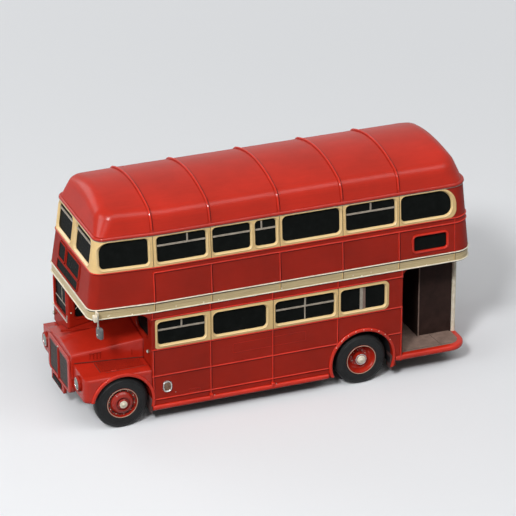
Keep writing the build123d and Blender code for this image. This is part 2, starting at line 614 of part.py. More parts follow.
def make_wing(side):
    """Front wing: its top falls to a rounded shoulder and nose, and the wheel arch is cut through it."""
    inner = abs(NOSE_Y * side + RADIATOR_HALF)
    shoulder_y = HALF_WIDTH - 1.5
    top = [(inner, WING_TOP_Z), (shoulder_y, WING_TOP_Z - 0.3)]
    if side < 0:
        inner_z = BONNET_FRONT[2][1]
        top = [(inner, inner_z), (-BONNET_FRONT[2][0], inner_z), (OFF_WING_SLOPE_Y, WING_TOP_Z + 0.1), top[1]]
    points = [(inner, WING_BOTTOM_Z), *top, (HALF_WIDTH, WING_SHOULDER_Z), (HALF_WIDTH, WING_BOTTOM_Z)]
    outline = Plane.YZ * make_face(Polyline(*points, close=True))
    wing = Pos(at(BULKHEAD_AFT), 0, 0) * extrude(outline, amount=BULKHEAD_AFT - WING_FRONT_AFT)
    long_edges = [e for e in wing.edges().filter_by(Axis.X) if e.center().Z > WING_BOTTOM_Z + 1
                  and e.center().Y > OFF_WING_SLOPE_Y + 1]
    wing = fillet(long_edges, 0.9)
    corner = plan(WING_FRONT_AFT, BULKHEAD_AFT, HALF_WIDTH, WING_CORNER, 0.2)
    wing = wing & (Pos(0, 0, WING_BOTTOM_Z) * extrude(corner, amount=20))
    apron = block(6.0, BULKHEAD_AFT, HALF_WIDTH - CAB_WALL, HALF_WIDTH, SKIRT_Z, WING_BOTTOM_Z + 0.5)
    well = block(-8.7, 8.7, 13.6, HALF_WIDTH - CAB_WALL, 0, 15.6)
    wing = wing + apron
    if side < 0:
        wing = mirror(wing, about=Plane.XZ) - block(CAB_FRONT_AFT, 20, -30, CAB_NEAR_Y, WING_TOP_Z, 40)
        well = mirror(well, about=Plane.XZ)
    return wing - arch_cutters(FRONT_ARCH_RADIUS, 0) - well - bonnet_form()


def cab_lights():
    """Cutters for the windscreen and the two side windows of the cab."""
    radii = (0.9,) * 4
    screen = end_cutter(*CAB_SCREEN_Y, *CAB_GLASS_Z, 0.9, CAB_FRONT_AFT - 2, CAB_FRONT_AFT + 2)
    near_face = side_outline(CAB_FRONT_AFT + 2.1, 4.5, CAB_GLASS_Z[0] + 0.5, CAB_GLASS_Z[1], radii)
    off_face = side_outline(CAB_FRONT_AFT + 2.6, 6.4, *CAB_GLASS_Z, radii)
    near = Pos(0, CAB_NEAR_Y, 0) * extrude(near_face, amount=3, both=True)
    off = Pos(0, -HALF_WIDTH, 0) * extrude(off_face, amount=3, both=True)
    return [screen, near, off]


def make_cab():
    """Half cab shell on the off side, with windscreen, near window and off window cut."""
    outer = block(CAB_FRONT_AFT, BULKHEAD_AFT, -HALF_WIDTH, CAB_NEAR_Y, WING_TOP_Z, BAND_Z[0])
    for post, radius in enumerate(CAB_POST_CORNERS):
        uprights = [e for e in outer.edges().filter_by(Axis.Z).sort_by(Axis.Y)
                    if e.center().X > at(CAB_FRONT_AFT) - 2]
        outer = fillet(uprights[-post], radius)
    hollow = block(CAB_FRONT_AFT + CAB_WALL, BULKHEAD_AFT, -HALF_WIDTH + CAB_WALL, CAB_NEAR_Y - CAB_WALL,
                   WING_TOP_Z + CAB_WALL, BAND_Z[0])
    return outer - hollow - cab_lights()


def make_cab_glazing():
    """Dark block that lines the cab, with a raised pane in each window."""
    low = WING_TOP_Z + CAB_WALL
    core = block(CAB_FRONT_AFT + CAB_WALL, BULKHEAD_AFT, -HALF_WIDTH + CAB_WALL, CAB_NEAR_Y - CAB_WALL,
                 low, BAND_Z[0])
    skin = block(CAB_FRONT_AFT + 0.5, BULKHEAD_AFT - 1, -HALF_WIDTH + 0.5, CAB_NEAR_Y - 0.5, low, BAND_Z[0])
    return core + (skin & Compound(cab_lights()))


def disc_at(aft, y, z, radius, length):
    """Disc facing forward, its front face at the given distance aft."""
    return Pos(at(aft) - length / 2, y, z) * Rot(0, 90, 0) * Cylinder(radius, length)


def make_headlamps():
    """Headlamp rims, rounded and let into the wings, each with a seat for its lens."""
    lamp = disc_at(WING_FRONT_AFT - 0.7, LAMP_Y, LAMP_Z, LAMP_RADIUS, 0.7)
    lamp = fillet(lamp.edges().group_by(Axis.X)[-1], 0.35)
    lamp = lamp - disc_at(WING_FRONT_AFT - 0.7, LAMP_Y, LAMP_Z, LAMP_RADIUS - 0.55, 0.35)
    return both_sides(lamp)


def make_headlamp_lenses():
    lens = disc_at(WING_FRONT_AFT - 0.7, LAMP_Y, LAMP_Z, LAMP_RADIUS - 0.55, 0.35)
    return both_sides(lens)


def side_lamp_outline(shrink):
    front, rear, low, high = SIDE_LAMP
    radii = (SIDE_LAMP_CORNER - shrink,) * 4
    face = side_outline(front + shrink, rear - shrink, low + shrink, high - shrink, radii)
    return extrude(face, amount=30, both=True)


def make_side_lamps():
    """Square lamp frames low on both sides, and the round rims of the two small marker lamps."""
    frame = side_lamp_outline(0) - side_lamp_outline(SIDE_LAMP_RIM)
    frame = frame & block(0, 20, HALF_WIDTH, HALF_WIDTH + 0.4, 0, 20)
    rims = []
    for aft, y, z in MARKERS:
        rim = disc_at(aft - 0.3, y, z, MARKER_RADIUS + MARKER_RIM, 0.3)
        rims.append(rim - disc_at(aft - 0.3, y, z, MARKER_RADIUS, 0.3))
    return Compound([*both_sides(frame).solids(), *rims])


def make_side_lamp_lenses():
    lens = side_lamp_outline(SIDE_LAMP_RIM) & block(0, 20, HALF_WIDTH, HALF_WIDTH + 0.25, 0, 20)
    discs = [disc_at(aft - 0.4, y, z, MARKER_RADIUS, 0.4) for aft, y, z in MARKERS]
    return Compound([*both_sides(lens).solids(), *discs])


def make_rear_lamps():
    """Pair of round lamps low on the rear panel."""
    lamps = []
    for y in REAR_LAMPS_Y:
        lamp = Pos(at(LOWER_REAR_AFT) - 0.3, y, REAR_LAMP_Z) * Rot(0, 90, 0) * Cylinder(REAR_LAMP_RADIUS, 0.6)
        lamps.append(fillet(lamp.edges().group_by(Axis.X)[0], 0.25))
    return Compound(lamps)


def make_platform_floor():
    outline = plan(PLATFORM_FRONT_AFT, LOWER_REAR_AFT - WALL, HALF_WIDTH - WALL, 0.2, REAR_CORNER - WALL)
    return Pos(0, 0, PLATFORM_Z - 1.6) * extrude(outline, amount=1.6)


def make_platform_edge():
    """Round-edged rail round the platform, from the rear wheel arch to the rear panel."""
    outer = plan(EDGE_FRONT_AFT, LOWER_REAR_AFT + EDGE_PROUD, HALF_WIDTH + EDGE_PROUD, 0.3,
                 REAR_CORNER + EDGE_PROUD)
    solid = Pos(0, 0, PLATFORM_Z - EDGE_HEIGHT) * extrude(outer, amount=EDGE_HEIGHT)
    rims = [e for e in solid.edges()
            if abs(e.tangent_at(0.5).Z) < 0.5 and e.center().X < at(EDGE_FRONT_AFT) - 0.5]
    solid = fillet(rims, 0.7)
    inner = plan(EDGE_FRONT_AFT - 5, LOWER_REAR_AFT - WALL, HALF_WIDTH - WALL, 0.2, REAR_CORNER - WALL)
    solid = solid - Pos(0, 0, PLATFORM_Z - EDGE_HEIGHT) * extrude(inner, amount=EDGE_HEIGHT)
    return solid & block(EDGE_FRONT_AFT, 110, STAIR_NEAR_Y - STAIR_WALL, 30, 0, 20)


def make_stair_enclosure():
    """Two walls that box in the stairs at the rear of the platform."""
    inner_y = STAIR_NEAR_Y - STAIR_WALL
    near = block(STAIR_FRONT_AFT, LOWER_REAR_AFT - WALL, inner_y, STAIR_NEAR_Y, PLATFORM_Z, BAND_Z[0])
    front = block(STAIR_FRONT_AFT, STAIR_FRONT_AFT + STAIR_WALL, -HALF_WIDTH + WALL, inner_y, PLATFORM_Z,
                  BAND_Z[0])
    return near + front


def make_saloon_bulkhead():
    half = HALF_WIDTH - WALL
    return block(PLATFORM_FRONT_AFT - 1.0, PLATFORM_FRONT_AFT, -half, half, CHASSIS_TOP_Z, BAND_Z[0])


def make_post():
    """Round post at the rear corner of the platform."""
    height = BAND_Z[0] - PLATFORM_Z
    x = at(LOWER_REAR_AFT - POST_RADIUS)
    return Pos(x, STAIR_NEAR_Y - 0.3, PLATFORM_Z + height / 2) * Cylinder(POST_RADIUS, height)


def make_skirt_rails():
    """Half-round rails along the foot of both sides."""
    def rail(low, high):
        bar = block(low, high, HALF_WIDTH, HALF_WIDTH + 0.7, *RAIL_Z)
        outer = bar.edges().filter_by(Axis.X).group_by(Axis.Y)[-1]
        return fillet(outer, 0.6)
    arch_edge = REAR_ARCH_RADIUS + ARCH_LIP + 0.2
    front = both_sides(rail(BULKHEAD_AFT, WHEELBASE - arch_edge))
    rear = mirror(rail(WHEELBASE + arch_edge, LOWER_REAR_AFT - REAR_CORNER), about=Plane.XZ)
    return front + rear


def make_arch_lips():
    """Raised half-round lips round the four wheel arches."""
    def lip(aft, radius, front_foot, rear_foot):
        ring = axle_cylinder(radius + ARCH_LIP, HALF_WIDTH, HALF_WIDTH + 0.5, aft)
        ring = fillet(ring.edges().group_by(Axis.Y)[-1], 0.35)
        ring = ring - axle_cylinder(radius, HALF_WIDTH - 1, HALF_WIDTH + 1, aft)
        halves = [ring & block(aft - 12, aft, HALF_WIDTH, HALF_WIDTH + 1, front_foot, 30),
                  ring & block(aft, aft + 12, HALF_WIDTH, HALF_WIDTH + 1, rear_foot, 30)]
        return halves[0] + halves[1]

    front = lip(0, FRONT_ARCH_RADIUS, WING_BOTTOM_Z, RAIL_Z[1])
    rear = lip(WHEELBASE, REAR_ARCH_RADIUS, SKIRT_Z, SKIRT_Z)
    return both_sides(front) + both_sides(rear)


def make_axle(aft):
    return axle_cylinder(AXLE_RADIUS, -WHEEL_SOCKET_Y, WHEEL_SOCKET_Y, aft)


def revolved(profile, aft, side):
    """Turn a profile of (radius, outward y) points about an axle line."""
    points = [(r, side * y) for r, y in profile]
    turned = revolve(Plane.XY * make_face(Polyline(*points, close=True)), axis=Axis.Y)
    return Pos(at(aft), 0, TYRE_RADIUS) * turned


def wheel_profile(face, outer_y, inner_y):
    """Closed half section of a wheel: its bore, the seat under its tyres and its outer face."""
    step_y = outer_y - RIM_STEP
    back = [(AXLE_RADIUS, inner_y), (BEAD_SEAT_RADIUS, inner_y), (BEAD_SEAT_RADIUS, step_y),
            (RIM_RADIUS, step_y), (RIM_RADIUS, outer_y)]
    front = [(r, outer_y + out) for r, out in face]
    return back + front + [(0, WHEEL_SOCKET_Y), (AXLE_RADIUS, WHEEL_SOCKET_Y)]


def make_front_wheel(side):
    profile = wheel_profile(FRONT_WHEEL_FACE, FRONT_WHEEL_Y, FRONT_WHEEL_Y - TYRE_WIDTH + 0.2)
    return revolved(profile, 0, side)


def make_rear_wheel(side):
    inner_y = REAR_WHEEL_Y - TWIN_PITCH - TYRE_WIDTH + 0.2
    return revolved(wheel_profile(REAR_WHEEL_FACE, REAR_WHEEL_Y, inner_y), WHEELBASE, side)


def tyre(aft, outer_y, side):
    """Tyre with a rounded shoulder, stepped over the wheel's rim on its outer side."""
    profile = [(r, outer_y - share * TYRE_WIDTH) for r, share in TYRE_SECTION]
    step_y = outer_y - RIM_STEP
    return revolved(profile + [(BEAD_SEAT_RADIUS, step_y), (RIM_RADIUS, step_y)], aft, side)


def inner_tyre(side):
    """Inner tyre of a rear pair, seated on the wheel's barrel."""
    outer_y = REAR_WHEEL_Y - TWIN_PITCH
    profile = [(r, outer_y - share * TYRE_WIDTH) for r, share in TYRE_SECTION[1:]]
    return revolved(profile + [(BEAD_SEAT_RADIUS, outer_y)], WHEELBASE, side)


def make_front_tyre(side):
    return tyre(0, FRONT_WHEEL_Y, side)


def make_rear_tyres(side):
    return tyre(WHEELBASE, REAR_WHEEL_Y, side) + inner_tyre(side)


def make_mirror():
    """Rear-view mirror hung by a rod from a bracket on the band's near front corner."""
    arm = block(-7.0, -6.2, HALF_WIDTH - 2.0, HALF_WIDTH + 0.5, 34.9, 36.1)
    rod = Pos(at(-6.3), HALF_WIDTH + 0.1, 33.6) * Cylinder(0.22, 3.2)
    plate = block(-7.2, -4.9, HALF_WIDTH - 0.3, HALF_WIDTH + 0.4, 28.7, 32.1)
    plate = fillet(plate.edges().filter_by(Axis.Y), 0.5)
    inside_band = Pos(0, 0, BAND_Z[0]) * extrude(band_plan(BAND_BEAD_PROUD), amount=BAND_Z[1] - BAND_Z[0])
    return arm - inside_band + rod + plate


def make_plates():
    """Blank number plates, front and rear."""
    front = block(RADIATOR_AFT, RADIATOR_AFT + 0.2, NOSE_Y - 6.0, NOSE_Y + 1.4, 5.2, 6.8)
    rear = block(LOWER_REAR_AFT, LOWER_REAR_AFT + 0.3, -6.4, 0.4, 17.0, 18.8)
    return Compound([front, rear])


near_panel, off_panel, rear_panel = make_lower_panels()

nodes = {
    "chassis": make_chassis(),
    "near_side_panel": near_panel,
    "off_side_panel": off_panel,
    "rear_panel": rear_panel,
    "front_bulkhead": make_bulkhead(),
    "lower_window_band": make_lower_cream(),
    "lower_glazing": make_lower_glazing(),
    "bulkhead_glazing": make_bulkhead_glazing(),
    "rear_glazing": make_rear_glazing(),
    "deck_floor": make_deck_floor(),
    "mid_band": make_mid_band(),
    "band_beads": make_band_beads(),
    "upper_body": make_upper_body(),
    "upper_window_band": make_upper_cream(),
    "upper_glazing": make_upper_glazing(),
    "roof": make_roof(),
    "indicator_panels": make_indicators(),
    "window_bars": make_window_bars(),
    "body_mouldings": make_body_mouldings(),
    "bonnet": make_bonnet(),
    "radiator_shell": make_radiator_shell(),
    "radiator_grille": make_grille(),
    "near_wing": make_wing(1),
    "off_wing": make_wing(-1),
    "cab": make_cab(),
    "cab_glazing": make_cab_glazing(),
    "headlamps": make_headlamps(),
    "headlamp_lenses": make_headlamp_lenses(),
    "side_lamps": make_side_lamps(),
    "side_lamp_lenses": make_side_lamp_lenses(),
    "rear_lamps": make_rear_lamps(),
    "platform_floor": make_platform_floor(),
    "platform_edge": make_platform_edge(),
    "stair_enclosure": make_stair_enclosure(),
    "saloon_bulkhead": make_saloon_bulkhead(),
    "platform_post": make_post(),
    "skirt_rails": make_skirt_rails(),
    "arch_lips": make_arch_lips(),
    "near_mirror": make_mirror(),
    "number_plate": make_plates(),
    "front_axle_rod": make_axle(0),
    "rear_axle_rod": make_axle(WHEELBASE),
}
for word, side in (("near", 1), ("off", -1)):
    nodes["front_" + word + "_wheel"] = make_front_wheel(side)
    nodes["rear_" + word + "_wheel"] = make_rear_wheel(side)
    nodes["front_" + word + "_tyre"] = make_front_tyre(side)
    nodes["rear_" + word + "_tyres"] = make_rear_tyres(side)

os.makedirs("parts", exist_ok=True)
for name, shape in nodes.items():
    export_step(shape, "parts/" + name + ".step")
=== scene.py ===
"""Finishes, small fittings and a plain studio for a 1:72 model of an open-platform double-deck bus.

Every fitting is placed in millimetres by its distance aft of the front axle, its y value (near side
positive) and its height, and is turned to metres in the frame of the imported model.
"""

import json
import math

import bmesh
import bpy
import numpy as np
from mathutils import Matrix, Vector


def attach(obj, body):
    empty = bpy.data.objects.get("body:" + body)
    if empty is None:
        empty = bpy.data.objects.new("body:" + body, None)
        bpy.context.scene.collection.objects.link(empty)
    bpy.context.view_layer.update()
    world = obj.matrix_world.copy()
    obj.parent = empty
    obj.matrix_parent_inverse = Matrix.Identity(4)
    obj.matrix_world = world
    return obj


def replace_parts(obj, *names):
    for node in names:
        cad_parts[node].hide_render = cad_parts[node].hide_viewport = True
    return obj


bl_info = {
    "name": "Double-deck bus model",
    "version": (1, 0, 0),
    "blender": (4, 5, 0),
    "location": "View3D > Sidebar > Bus model",
    "description": "Finishes and small fittings of a scale model bus, with a plain studio round it",
    "category": "Add Mesh",
}

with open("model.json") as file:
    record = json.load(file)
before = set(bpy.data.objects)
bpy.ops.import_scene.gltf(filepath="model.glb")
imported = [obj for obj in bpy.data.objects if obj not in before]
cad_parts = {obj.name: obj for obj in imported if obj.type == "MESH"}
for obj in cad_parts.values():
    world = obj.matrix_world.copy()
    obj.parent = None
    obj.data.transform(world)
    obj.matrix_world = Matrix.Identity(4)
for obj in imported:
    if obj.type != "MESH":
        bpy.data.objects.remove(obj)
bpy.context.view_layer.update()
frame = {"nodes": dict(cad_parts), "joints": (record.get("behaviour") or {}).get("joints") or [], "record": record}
NODES = frame["nodes"]
SLOT_OF = {row["node"]: row["material_slot"] for row in frame["record"]["subparts"]}
AXLES = {joint["child"]: joint["pos_m"] for joint in frame["joints"]}

MM = 0.001
FRONT_X = AXLES["front_axle"][0] / MM
WHEELBASE = FRONT_X - AXLES["rear_axle"][0] / MM
AXLE_Z = AXLES["front_axle"][2] / MM

# The body's outside, as the source of the solids has it
HALF_WIDTH = 19.45
GUTTER_HALF_WIDTH = 18.2
BAND_TOP_Z = 37.0
GUTTER_Z = 56.5
# Ends of the upper deck: at the band's top, at the gutter
FRONT_AFT = (-8.45, -5.7)
REAR_AFT = (105.1, 103.5)
CORNER_RADIUS = 2.7
TAPER = 1.5
TAPER_LENGTH = 18.0
TAPER_BEND = 50.0
REAR_CORNER = 5.2
SILL_Z = 47.1
UNDER_SILL_Z = 45.6
BAND_FOOT_Z = 33.9
LOWER_CREAM_Z = (22.7, 31.6)
RAIL_TOP_Z = 5.5
PLATFORM_Z = 7.2
BULKHEAD_AFT = 8.6
PLATFORM_FRONT_AFT = 83.4
EDGE_FRONT_AFT = 81.6
STAIR_FRONT_AFT = 92.3
STAIR_NEAR_Y = 10.5
LOWER_REAR_AFT = 104.1
CAB_FRONT_AFT = -7.3
CAB_NEAR_Y = -5.6
RADIATOR_AFT = -11.9
NOSE_Y = -1.0
UPPER_PILLARS = (9.8, 26.4, 46.5, 65.2, 82.2)
LOWER_PILLARS = (25.8, 44.2, 63.7)
REAR_SEAM_AFT = 99.2
# Wheel arches with their lips: centre aft, radius
ARCHES = ((0.0, 9.4), (WHEELBASE, 10.2))

# Side windows: front edge aft, rear edge aft, corner radius or radii front low, front high, rear high,
# rear low
UPPER_LIGHTS = (
    (-5.1, 8.6, 1.4, 2.8, 1.0, 1.0),
    (11.1, 25.2, 0.9),
    (27.2, 38.1, 0.9),
    (39.6, 45.6, 0.9),
    (47.6, 64.5, 1.3),
    (66.5, 81.1, 0.9),
    (83.1, 98.2, 1.2, 1.2, 3.9, 2.4),
)
LOWER_LIGHTS = (
    (10.6, 24.3, 0.9),
    (26.8, 42.4, 1.3),
    (45.2, 62.7, 0.9),
    (64.8, 78.1, 0.9),
)
UPPER_GLASS_Z = (48.3, 55.6)
LOWER_GLASS_Z = (23.8, 30.5)
# How far the panes lie inside the skin, and the uprights behind two of the lower lights
PANE_INSET = 0.45
HINGED_BAR_AFT = 53.95
INNER_POST_AFT = 71.8

# Outlines on a side: front, rear, low, high
REAR_BAY_LIGHT = (86.7, 96.8, 38.8, 43.3)
CAB_NEAR_LIGHT = (CAB_FRONT_AFT + 2.1, 4.5, 23.5, 31.8)
CAB_OFF_LIGHT = (CAB_FRONT_AFT + 2.6, 6.4, 23.0, 31.8)
FLAP = (32.4, 54.1, 17.4, 20.2)
HANDLE = (19.4, 22.6, 7.7, 8.6)
SIDE_LAMP = (11.95, 13.95, 9.45, 12.05)

# Outlines on an end: off, near, low, high
FRONT_LIGHTS = ((0.9, 13.6, *UPPER_GLASS_Z), (-14.3, -2.2, *UPPER_GLASS_Z))
INDICATORS = ((-10.2, -5.0, 41.3, 45.6), (-3.4, 7.0, 41.3, 45.6), (-10.6, 6.8, 37.9, 40.5))
UPPER_REAR_LIGHT = (-9.0, 9.0, 48.2, 55.6)
LOWER_REAR_LIGHT = (-9.5, 3.5, 23.4, 31.0)
BULKHEAD_LIGHT = (7.0, 16.6, 25.0, 31.8)
WINDSCREEN = (-17.9, -7.4, 23.0, 31.8)

# Half-round beads and the painted shadow strips beside them: width, height over the skin
BEAD = (0.45, 0.27)
BEAD_SHADOW = (0.24, 0.03)
BEAD_SHADOW_OFFSET = 0.3
LOWER_BEADS_Z = (7.15, 14.35, 22.45, 31.85)
# How far the cream window bands stand over the red skin
CREAM_PROUD = 0.1

# Grille: inner and outer edge from the nose's middle, its back plane, heights of its rows
GRILLE_Y = (0.6, 8.0)
GRILLE_AFT = RADIATOR_AFT + 0.5
GRILLE_Z = (8.35, 12.75, 17.15)
# Headlamp: distance ahead of the front axle, distance from the middle, height
HEADLAMP = (11.6, 14.4, 13.7)
# Tread panel on the near wing: its edges, and the spacing of its ridges
TREAD_Y = (10.9, 16.5)
TREAD_PITCH = 0.56

# Tone of the floor as it lights the model, darker than as it is seen
FLOOR_BOUNCE = "5E6062"
# Lamps of the studio: name, place in metres, power in watts, width and depth in metres
LAMPS = (
    ("key", (0.64, 0.76, 0.88), 10.0, (0.22, 0.22)),
    ("overhead", (-0.2, 0.56, 0.94), 4.8, (1.3, 0.4)),
    ("front", (1.15, 0.15, 0.6), 5.2, (0.6, 0.6)),
    ("off_side", (0.55, -0.95, 0.5), 2.5, (0.7, 0.5)),
)
LAMP_TARGET = (0.0, 0.0, 0.03)
# Camera: place in metres; azimuth, elevation and roll in degrees; sensor and lens in millimetres
CAMERA_PLACE = (0.27804, 0.72411, 0.40157)
CAMERA_ANGLES = (158.956, 25.269, -0.183)
CAMERA_SENSOR = 36.0
CAMERA_LENS = 212.68

# Finishes of each slot of the record; a solid has the first unless FINISH_NODES names it
SLOT_FINISHES = {
    "red_gloss": ("red", "red_roof", "red_soft", "red_wheel", "red_bead", "red_shade_line"),
    "cream_gloss": ("cream", "cream_rim", "band"),
    "dark_pane": ("pane",),
    "pale_metal": ("bead", "bar", "chrome", "drip", "pale", "ring", "mirror_grey"),
    "grille_grey": ("grille",),
    "lamp_lens": ("lens", "marker", "amber"),
    "rear_lens": ("rear_lens",),
    "brown_matte": ("brown", "floor_brown"),
    "black_plastic": ("chassis", "dark_gap_and_shadow", "rubber_flap"),
    "steel_rod": ("steel",),
    "tyre": ("front_tyre", "rear_tyre"),
}
FINISH_NODES = {
    "red_roof": ("roof",),
    "red_soft": ("bonnet", "near_wing", "off_wing", "radiator_shell"),
    "red_wheel": ("front_near_wheel", "front_off_wheel", "rear_near_wheel", "rear_off_wheel"),
    "red_bead": ("platform_edge", "skirt_rails", "arch_lips"),
    "band": ("mid_band",),
    "bar": ("window_bars",),
    "chrome": ("side_lamps",),
    "pale": ("platform_post",),
    "mirror_grey": ("near_mirror",),
    "amber": ("side_lamp_lenses",),
    "floor_brown": ("platform_floor",),
    "rear_tyre": ("rear_near_tyres", "rear_off_tyres"),
}
FINISHES = {}


class BusSizes(bpy.types.PropertyGroup):
    """Sizes that a user would change, in millimetres on the model."""
    rim_reach: bpy.props.FloatProperty(
        name="Window rim", description="How far a window rim spreads, in mm", default=0.45, min=0.2, max=0.8)
    fin_pitch: bpy.props.FloatProperty(
        name="Grille fin pitch", description="Spacing of the grille fins, in mm",
        default=0.36, min=0.2, max=1.0)
    nut_count: bpy.props.IntProperty(
        name="Wheel nuts", description="Nuts on each wheel", default=10, min=5, max=12)


class BusColours(bpy.types.PropertyGroup):
    """Colours that a user would change, as sRGB."""
    red: bpy.props.FloatVectorProperty(
        name="Red enamel", description="Main body colour", subtype="COLOR_GAMMA", size=3,
        default=(0.65, 0.142, 0.082), min=0, max=1)
    cream: bpy.props.FloatVectorProperty(
        name="Cream enamel", description="Window bands", subtype="COLOR_GAMMA", size=3,
        default=(0.93, 0.80, 0.57), min=0, max=1)
    floor: bpy.props.FloatVectorProperty(
        name="Floor", description="Studio floor", subtype="COLOR_GAMMA", size=3,
        default=(0.905, 0.915, 0.925), min=0, max=1)


# Places: each function turns plane coordinates and a distance outwards, in mm, to points in metres

def points_of(aft, y, z):
    """Points in metres from distances aft, y values and heights in mm, stacked along a last axis."""
    aft, y, z = np.broadcast_arrays(aft, y, z)
    return np.stack([FRONT_X - aft, y, z], axis=-1) * MM


def between(pair, share):
    """Value at a share of the way from the first of a pair to the second."""
    return pair[0] + share * (pair[1] - pair[0])


def skin_share(z):
    """Share of the way up from the band to the gutter."""
    return np.maximum((z - BAND_TOP_Z) / (GUTTER_Z - BAND_TOP_Z), 0)


def skin_y(aft, z):
    """Half width of the upper deck: it leans in upwards and forwards, and bends round the front corner.

    The side line rises by the taper over its length behind the front; ahead of the corner's tangent
    point the half width is that of a circle touching the side line and the front line.
    """
    share = skin_share(z)
    half = between((HALF_WIDTH, GUTTER_HALF_WIDTH), share)
    front = between(FRONT_AFT, share)
    slope = TAPER / TAPER_LENGTH
    line = half - TAPER + slope * np.clip(aft - front, 0, TAPER_LENGTH)
    centre_y = half - TAPER + slope * CORNER_RADIUS - math.hypot(1, slope) * CORNER_RADIUS
    ahead = np.clip(front + CORNER_RADIUS - aft, 0, CORNER_RADIUS)
    arc = centre_y + np.sqrt(CORNER_RADIUS ** 2 - ahead ** 2)
    tangent = front + CORNER_RADIUS * (1 - slope / math.hypot(1, slope))
    return np.where(aft < tangent, arc, line)


def upper_side(aft, z, out):
    """Near side of the upper deck: the distance outwards is taken square to the leaning, bent skin."""
    lean = math.atan2(HALF_WIDTH - GUTTER_HALF_WIDTH, GUTTER_Z - BAND_TOP_Z)
    step = 0.05
    slope = (skin_y(aft + step, z) - skin_y(aft - step, z)) / (2 * step)
    length = np.sqrt(1 + slope ** 2)
    forward = slope / length * out * math.cos(lean)
    outward = skin_y(aft, z) + out * math.cos(lean) / length
    return points_of(aft - forward, outward, z + out * math.sin(lean))


def upper_front(y, z, out):
    """Front of the upper deck."""
    return points_of(between(FRONT_AFT, skin_share(z)) - out, y, z)


def upper_rear(y, z, out):
    """Rear of the upper deck."""
    return points_of(between(REAR_AFT, skin_share(z)) + out, y, z)


def plane_ahead(aft):
    """Function for a plane facing forward at a distance aft."""
    return lambda y, z, out: points_of(aft - out, y, z)


def plane_behind(aft):
    """Function for a plane facing rearward at a distance aft."""
    return lambda y, z, out: points_of(aft + out, y, z)


def plane_near(y):
    """Function for a plane facing the near side."""
    return lambda aft, z, out: points_of(aft, y + out, z)


def plane_off(y):
    """Function for a plane facing the off side."""
    return lambda aft, z, out: points_of(aft, y - out, z)


def plane_up(z):
    """Function for a level plane."""
    return lambda aft, y, out: points_of(aft, y, z + out)


# Near side of the lower deck
lower_side = plane_near(HALF_WIDTH)


def on_wheel(aft, y, radius=0.0, turn=0.0):
    """Point in metres on a circle about an axle; the turn starts forward and goes upwards."""
    return points_of(aft - radius * math.cos(turn), y, AXLE_Z + radius * math.sin(turn))


def wing_top(aft, y, out):
    """Near wing's top, which falls a little outwards."""
    return points_of(aft, y, 17.3 - 0.3 * (y - 8.7) / 9.25 + out)


def bonnet_near(aft, z, out):
    """Near face of the bonnet, which widens rearwards."""
    return points_of(aft, 9.45 + 0.1575 * (aft + 11.4) + out, z)


def mirror_face(a, b, out):
    """Face of the mirror's head, turned forward and outward: a runs along it, b upwards."""
    turn = math.radians(70)
    aft = -6.3 + a * math.cos(turn) - out * math.sin(turn)
    return points_of(aft, 19.75 + a * math.sin(turn) + out * math.cos(turn), 30.7 + b)


# Surfaces: each function gives points and faces, joined later with others to one mesh

def grid(points, closed_rows=False, closed_columns=False):
    """Quads over a grid of points, joined across its ends where it is closed."""
    rows, columns = points.shape[:2]
    index = np.arange(rows * columns).reshape(rows, columns)
    if closed_rows:
        index = np.vstack([index, index[:1]])
    if closed_columns:
        index = np.hstack([index, index[:, :1]])
    corners = (index[:-1, :-1], index[:-1, 1:], index[1:, 1:], index[1:, :-1])
    return points.reshape(-1, 3), np.stack(corners, axis=-1).reshape(-1, 4)


def capped(rings):
    """Grid of closed rings with both ends drawn together to a point."""
    ends = [np.repeat(ring.mean(axis=0)[None], len(ring), axis=0) for ring in (rings[0], rings[-1])]
    return grid(np.concatenate([ends[0][None], rings, ends[1][None]]), closed_columns=True)


def rounded_outline(box, radii, steps):
    """Points and outward directions round a rectangle (a low, a high, b low, b high) with rounded corners.

    The corners come in the order a low b low, a low b high, a high b high, a high b low; each is a
    quarter circle of its own radius, so its points are the centre plus radius times (cos, sin).
    """
    a_low, a_high, b_low, b_high = box
    corners = ((a_low, b_low, 1, 1), (a_low, b_high, 1, -1), (a_high, b_high, -1, -1), (a_high, b_low, -1, 1))
    points, directions = [], []
    for (a, b, side_a, side_b), start, radius in zip(corners, (270, 180, 90, 0), np.broadcast_to(radii, 4)):
        angles = np.radians(np.linspace(start, start - 90, steps + 1))
        unit = np.stack([np.cos(angles), np.sin(angles)], axis=1)
        points.append(np.array((a + side_a * radius, b + side_b * radius)) + radius * unit)
        directions.append(unit)
    return np.concatenate(points), np.concatenate(directions)


def rim(surface, box, radii, profile, steps=6):
    """A closed profile of (reach out from the outline, height over the surface) carried round an outline."""
    points, directions = rounded_outline(box, radii, steps)
    reach, height = np.array(profile).T
    a = points[:, None, 0] + directions[:, None, 0] * reach
    b = points[:, None, 1] + directions[:, None, 1] * reach
    return grid(surface(a, b, np.broadcast_to(height, a.shape)), closed_rows=True, closed_columns=True)


def plate(surface, box, radii, low, high, bevel, crown=0.0):
    """A plate on a surface: its outline from low to high, drawn in by the bevel and crowned at its middle."""
    points, directions = rounded_outline(box, radii, 4)
    middle = points.mean(axis=0)
    rows = [(0, low, 1), (0, high - bevel, 1), (-0.3 * bevel, high - 0.3 * bevel, 1), (-bevel, high, 1),
            (-bevel, high + 0.5 * crown, 0.6), (-bevel, high + crown, 0.01)]
    rings = []
    for reach, height, share in rows:
        ring = middle + (points + directions * reach - middle) * share
        rings.append(surface(ring[:, 0], ring[:, 1], np.full(len(ring), height)))
    return capped(np.array(rings))


